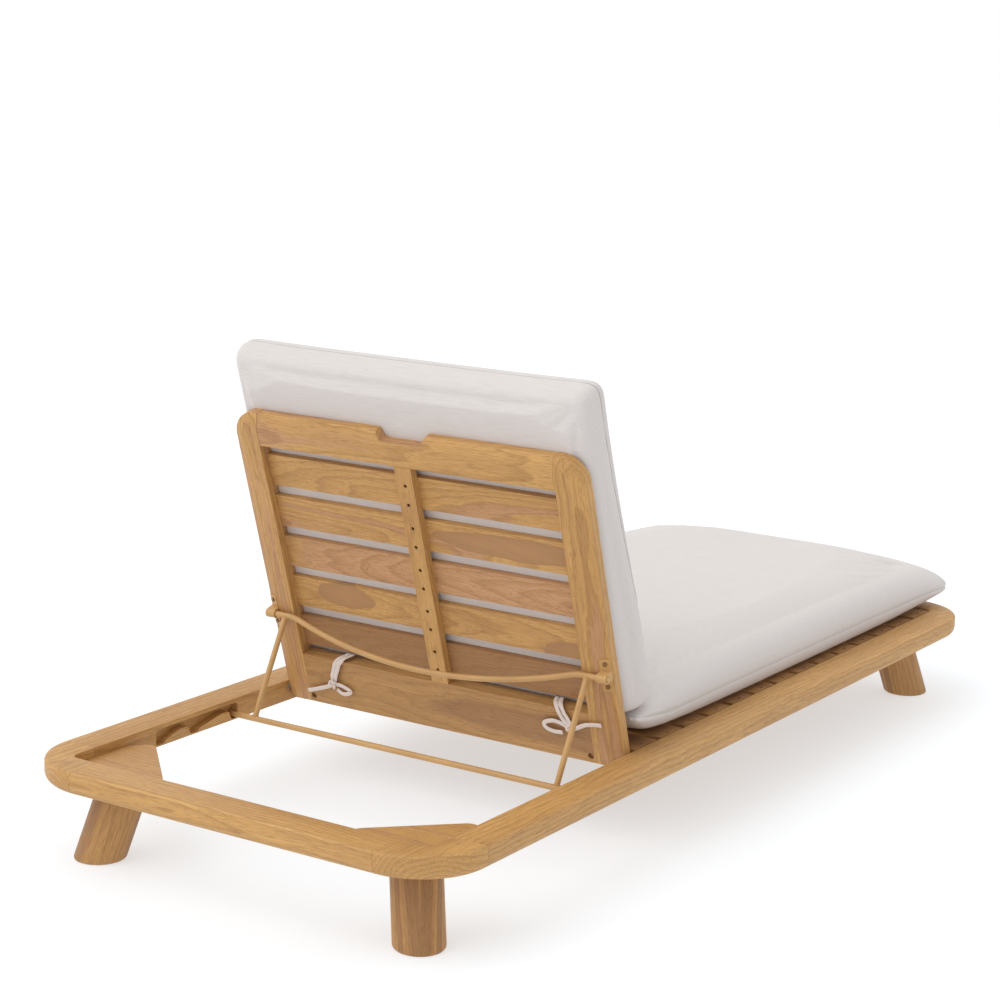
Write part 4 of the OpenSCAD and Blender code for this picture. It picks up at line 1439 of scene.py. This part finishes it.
        # The sewn seam is stiffer than the panels, so it keeps the outline
        x, y, z = before.reshape(-1, 3).T / MM
        edge = np.minimum(self.half - np.abs(x), np.minimum(y - self.low, self.high - y))
        near = np.abs(z - self.seam_at(y)) < self.held_share * self.voxel
        sewn = near & (edge < self.held_edge)
        held = obj.vertex_groups.new(name="held")
        held.add(np.flatnonzero(sewn).tolist(), 1.0, "REPLACE")
        cloth = obj.modifiers.new("cloth", "CLOTH")
        cloth.settings.vertex_group_mass = held.name
        cloth.settings.use_pressure = True
        cloth.settings.uniform_pressure_force = self.pressure
        cloth.settings.quality = 5
        cloth.settings.effector_weights.gravity = 0
        cloth.point_cache.frame_start = 1
        cloth.point_cache.frame_end = self.frames
        for number in range(1, self.frames + 1):
            scene.frame_set(number)
        graph = bpy.context.evaluated_depsgraph_get()
        after = np.zeros(count * 3)
        obj.evaluated_get(graph).data.vertices.foreach_get("co", after)
        obj.modifiers.clear()
        obj.vertex_groups.clear()
        scene.frame_set(1)
        travel = (after - before).reshape(-1, 3)
        # The foam core holds the cover out, so no point moves inwards
        inwards = np.minimum(0, (travel * normals).sum(1))
        travel -= inwards[:, None] * normals
        far = np.linalg.norm(travel, axis=1)
        travel *= np.minimum(1, self.cap * MM / np.maximum(far, 1e-9))[:, None]
        log.info("%s: %d points swelled, %.1f mm at most", self.name, count, far.max() / MM)
        obj.data.vertices.foreach_set("co", before + travel.ravel())

    def settle(self, obj: Object) -> None:
        """Flattens the cushion where it rests, draws in its seam, and marks it for the canvas."""
        co = np.array([v.co for v in obj.data.vertices], float) / MM
        x, y, z = co.T
        # Where it rests on the timber it is flat, and it sags a little over its edge
        free = np.clip((y - self.floor_end) / 60, 0, 1)
        limit = self.floor - self.sag * free**2 * (3 - 2 * free)
        z = np.where(z < limit, limit + (z - limit) * 0.02, z)
        x = np.clip(x, -self.half - 1, self.half + 1)
        # The seam runs round the side
        edge = np.minimum(self.half - np.abs(x), np.minimum(y - self.low, self.high - y))
        from_seam = z - self.seam_at(y)
        depth, wide, full, fade = self.groove
        near = np.exp(-((from_seam / wide) ** 2)) * np.clip(1 - (edge - full) / fade, 0, 1)
        pull = depth * near
        side_x = np.clip(1 - (self.half - np.abs(x)) / self.side_reach, 0, 1)
        side_y = np.clip(1 - np.minimum(y - self.low, self.high - y) / self.side_reach, 0, 1)
        x = x - np.sign(x) * pull * side_x
        y = y - np.sign(y - (self.low + self.high) / 2) * pull * side_y
        co = np.stack([x, y, z], axis=1)
        obj.data.vertices.foreach_set("co", (moved(co, self.place) * MM).astype(np.float32).ravel())
        rest = obj.data.attributes.new("rest", "FLOAT_VECTOR", "POINT")
        rest.data.foreach_set("vector", (co * MM).astype(np.float32).ravel())
        # Distance through the cushion to the seam
        seam = obj.data.attributes.new("seam", "FLOAT", "POINT")
        seam.data.foreach_set("value", (from_seam * MM).astype(np.float32))
        obj.data.update()

    def build(self) -> None:
        """Makes the cushion."""
        obj = self.shell()
        self.remesh(obj)
        self.inflate(obj)
        smooth = obj.modifiers.new("fine", "SUBSURF")
        smooth.levels = 1
        bake_modifiers(obj)
        self.settle(obj)
        obj.data.shade_smooth()
        obj.data.materials.clear()
        obj.data.materials.append(FINISHES.get(self.finish or FINISHES.canvas))
        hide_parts(self.node)
        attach(obj, self.body.value)
        log.info("%s rides on the %s", obj.name, self.body.value)


@dataclass
class Mattress:
    """The folding mattress: a seat cushion and a back cushion."""

    def build(self, backrest: Backrest) -> None:
        """Makes both cushions."""
        low, high = box_mm("seat_cushion")
        # The seat cushion's canvas draws its seam pale: a painted highlight
        seat = Pad(name="canvas_seat_cushion", node="seat_cushion", body=Body.FRAME,
                   place=Matrix.Identity(4), half=high[0] + 14, low=low[1] - 17,
                   high=high[1] + 2, seam=low[2] + 39,
                   front=high[2] + 14, rear=low[2] - 2, floor=low[2] - 0.4, floor_end=high[1],
                   drop=(high[1] - 110, high[1], 52), lift=(high[1] - 70, high[1], 30),
                   rise=(high[1] - 160, high[1], 20), front_reach=60, corner_power=12,
                   corner_pinch=0.6, pinch_power=4, pinch=10, finish=FINISHES.canvas_seam_highlight)
        seat.build()
        low, high = box_in("back_cushion", backrest.place)
        back = Pad(name="canvas_back_cushion", node="back_cushion", body=Body.BACKREST,
                   place=backrest.place, half=high[0] + 7, low=low[1] - 2,
                   high=high[1] + 8, seam=low[2] + 53,
                   front=high[2], rear=low[2] - 2.5, floor=low[2] - 0.1, floor_end=600,
                   drop=(600, 200, -9), rise=(690, 250, 34), corner_power=3.2)
        back.build()


# ---- Ties ----


@dataclass
class Ties:
    """Cotton tapes that hold the mattress to the backrest, tied behind the bottom rail.

    Routes are (across, up the back, depth), from the slot under the lowest slat.
    """

    width: float = 8.2
    thickness: float = 1.4
    knot_scale: float = 2.7
    strand_d: float = 5.2
    flattened: float = 0.75
    left_band: tuple = (
        (208, 99, 13), (212, 99, 1), (219, 98, -11), (228, 88, -18), (232, 80, -18),
        (236, 72, -18), (240, 64, -18), (243, 56, -18), (246, 49, -18), (250, 42, -18),
        (257, 37, -18), (266, 32, -18), (284, 25, -18), (301, 19, -18), (316, 14, -18))
    left_loop: tuple = (
        (218, 99, 13), (222, 99, 1), (229, 98, -11), (237, 88, -18), (241, 80, -18),
        (244, 72, -18), (247, 65, -18), (250, 58, -18), (248, 43, -18), (236, 41, -18),
        (222, 37, -18), (212, 31, -18), (222, 24, -18), (234, 23, -18), (244, 30, -18))
    right_tail: tuple = (
        (-252, 99, 13), (-255, 99, 1), (-261, 98, -11), (-269, 88, -18), (-273, 80, -18),
        (-277, 72, -18), (-281, 63, -18), (-284, 55, -18), (-291, 58, -18), (-297, 61, -18),
        (-304, 65, -18), (-312, 69, -18), (-320, 71, -18), (-329, 73, -18), (-346, 75, -18))
    right_loop: tuple = (
        (-242, 99, 13), (-245, 99, 1), (-251, 98, -11), (-258, 88, -18), (-261, 81, -18),
        (-264, 74, -18), (-269, 67, -18), (-276, 56, -18), (-261, 62, -18), (-251, 64, -18),
        (-241, 64, -18), (-225, 57, -18), (-226, 47, -18), (-241, 42, -18), (-261, 43, -18))
    knots: tuple = (("left", (250, 41, -20)), ("right", (-281, 54, -20)))

    def tape(self, name: str, node: str, route: tuple, place: Matrix, knots: list) -> None:
        """Makes one tape.

        Args:
            name: Name of the piece.
            node: The node that it stands for.
            route: Points down its middle.
            place: The backrest's place.
            knots: The knots that are tied in it; not used.
        """
        line = smooth_line(np.array(route, float), 5)
        heading = unit(np.gradient(line, axis=0))
        out = np.tile((0.0, 0.0, -1.0), (len(line), 1))
        dive = np.abs(heading[:, 2]) > 0.55
        out[dive] = (0.0, 1.0, 0.0)
        for _ in range(3):
            out[1:-1] = (out[:-2] + 2 * out[1:-1] + out[2:]) / 4
        side = unit(np.cross(heading, out))
        up = np.cross(side, heading)
        w, t = self.width / 2, self.thickness / 2
        section = [(-w, -t * 0.5), (-w * 0.9, -t), (w * 0.9, -t), (w, -t * 0.5),
                   (w, t * 0.5), (w * 0.9, t), (-w * 0.9, t), (-w, t * 0.5)]
        rings = [np.array([p + a * s + b * u for a, b in section]) for p, s, u in zip(line, side, up)]
        obj = loft(name, [moved(r, place) for r in rings])
        shade(obj, 50)
        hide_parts(node)
        finish_piece(obj, Body.BACKREST, FINISHES.tape)

    def knot(self, word: str, spot: tuple, place: Matrix) -> Object:
        """Makes an overhand knot of round-drawn tape.

        Args:
            word: Side of the lounger.
            spot: Its middle.
            place: The backrest's place.

        Returns:
            The knot.
        """
        t = np.linspace(0, 2 * math.pi, 73)[:-1]
        line = np.stack([np.sin(t) + 2 * np.sin(2 * t), np.cos(t) - 2 * np.cos(2 * t),
                         -np.sin(3 * t) * 0.9], axis=1) * self.knot_scale
        heading = unit(np.roll(line, -1, axis=0) - np.roll(line, 1, axis=0))
        turns = np.linspace(0, 2 * math.pi, 10, endpoint=False)
        rings = []
        for p, h in zip(line, heading):
            side = unit(np.cross(h, (0, 0, 1)))
            ring = (np.outer(np.cos(turns), side)
                    + self.flattened * np.outer(np.sin(turns), np.cross(h, side)))
            rings.append(moved(p + self.strand_d / 2 * ring + np.array(spot), place))
        obj = loft(f"tie_knot_{word}", rings, closed=True)
        shade(obj, 60)
        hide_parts("tie_knots")
        return finish_piece(obj, Body.BACKREST, FINISHES.tape)

    def build(self, place: Matrix) -> None:
        """Makes the knots and the tapes."""
        knots = {word: self.knot(word, spot, place) for word, spot in self.knots}
        for words, knotted in (("left_band", [knots["left"]]), ("left_loop", []),
                               ("right_tail", [knots["right"]]), ("right_loop", [])):
            self.tape(f"tape_{words}", f"tie_{words}", getattr(self, words), place, knotted)


def main() -> None:
    """Builds the scene: camera and ties first, then timber, metal and mattress."""
    studio = Studio()
    studio.camera()
    backrest = Backrest()
    Ties().build(backrest.place)
    ring = Ring()
    ring.build()
    Legs().build(ring)
    Seat().build()
    backrest.build()
    Hardware().build()
    Prop().build()
    Mattress().build(backrest)
    studio.lights()
    studio.floor()


if __name__ == "__main__":
    logging.basicConfig(level=logging.INFO, format="%(message)s")
    main()
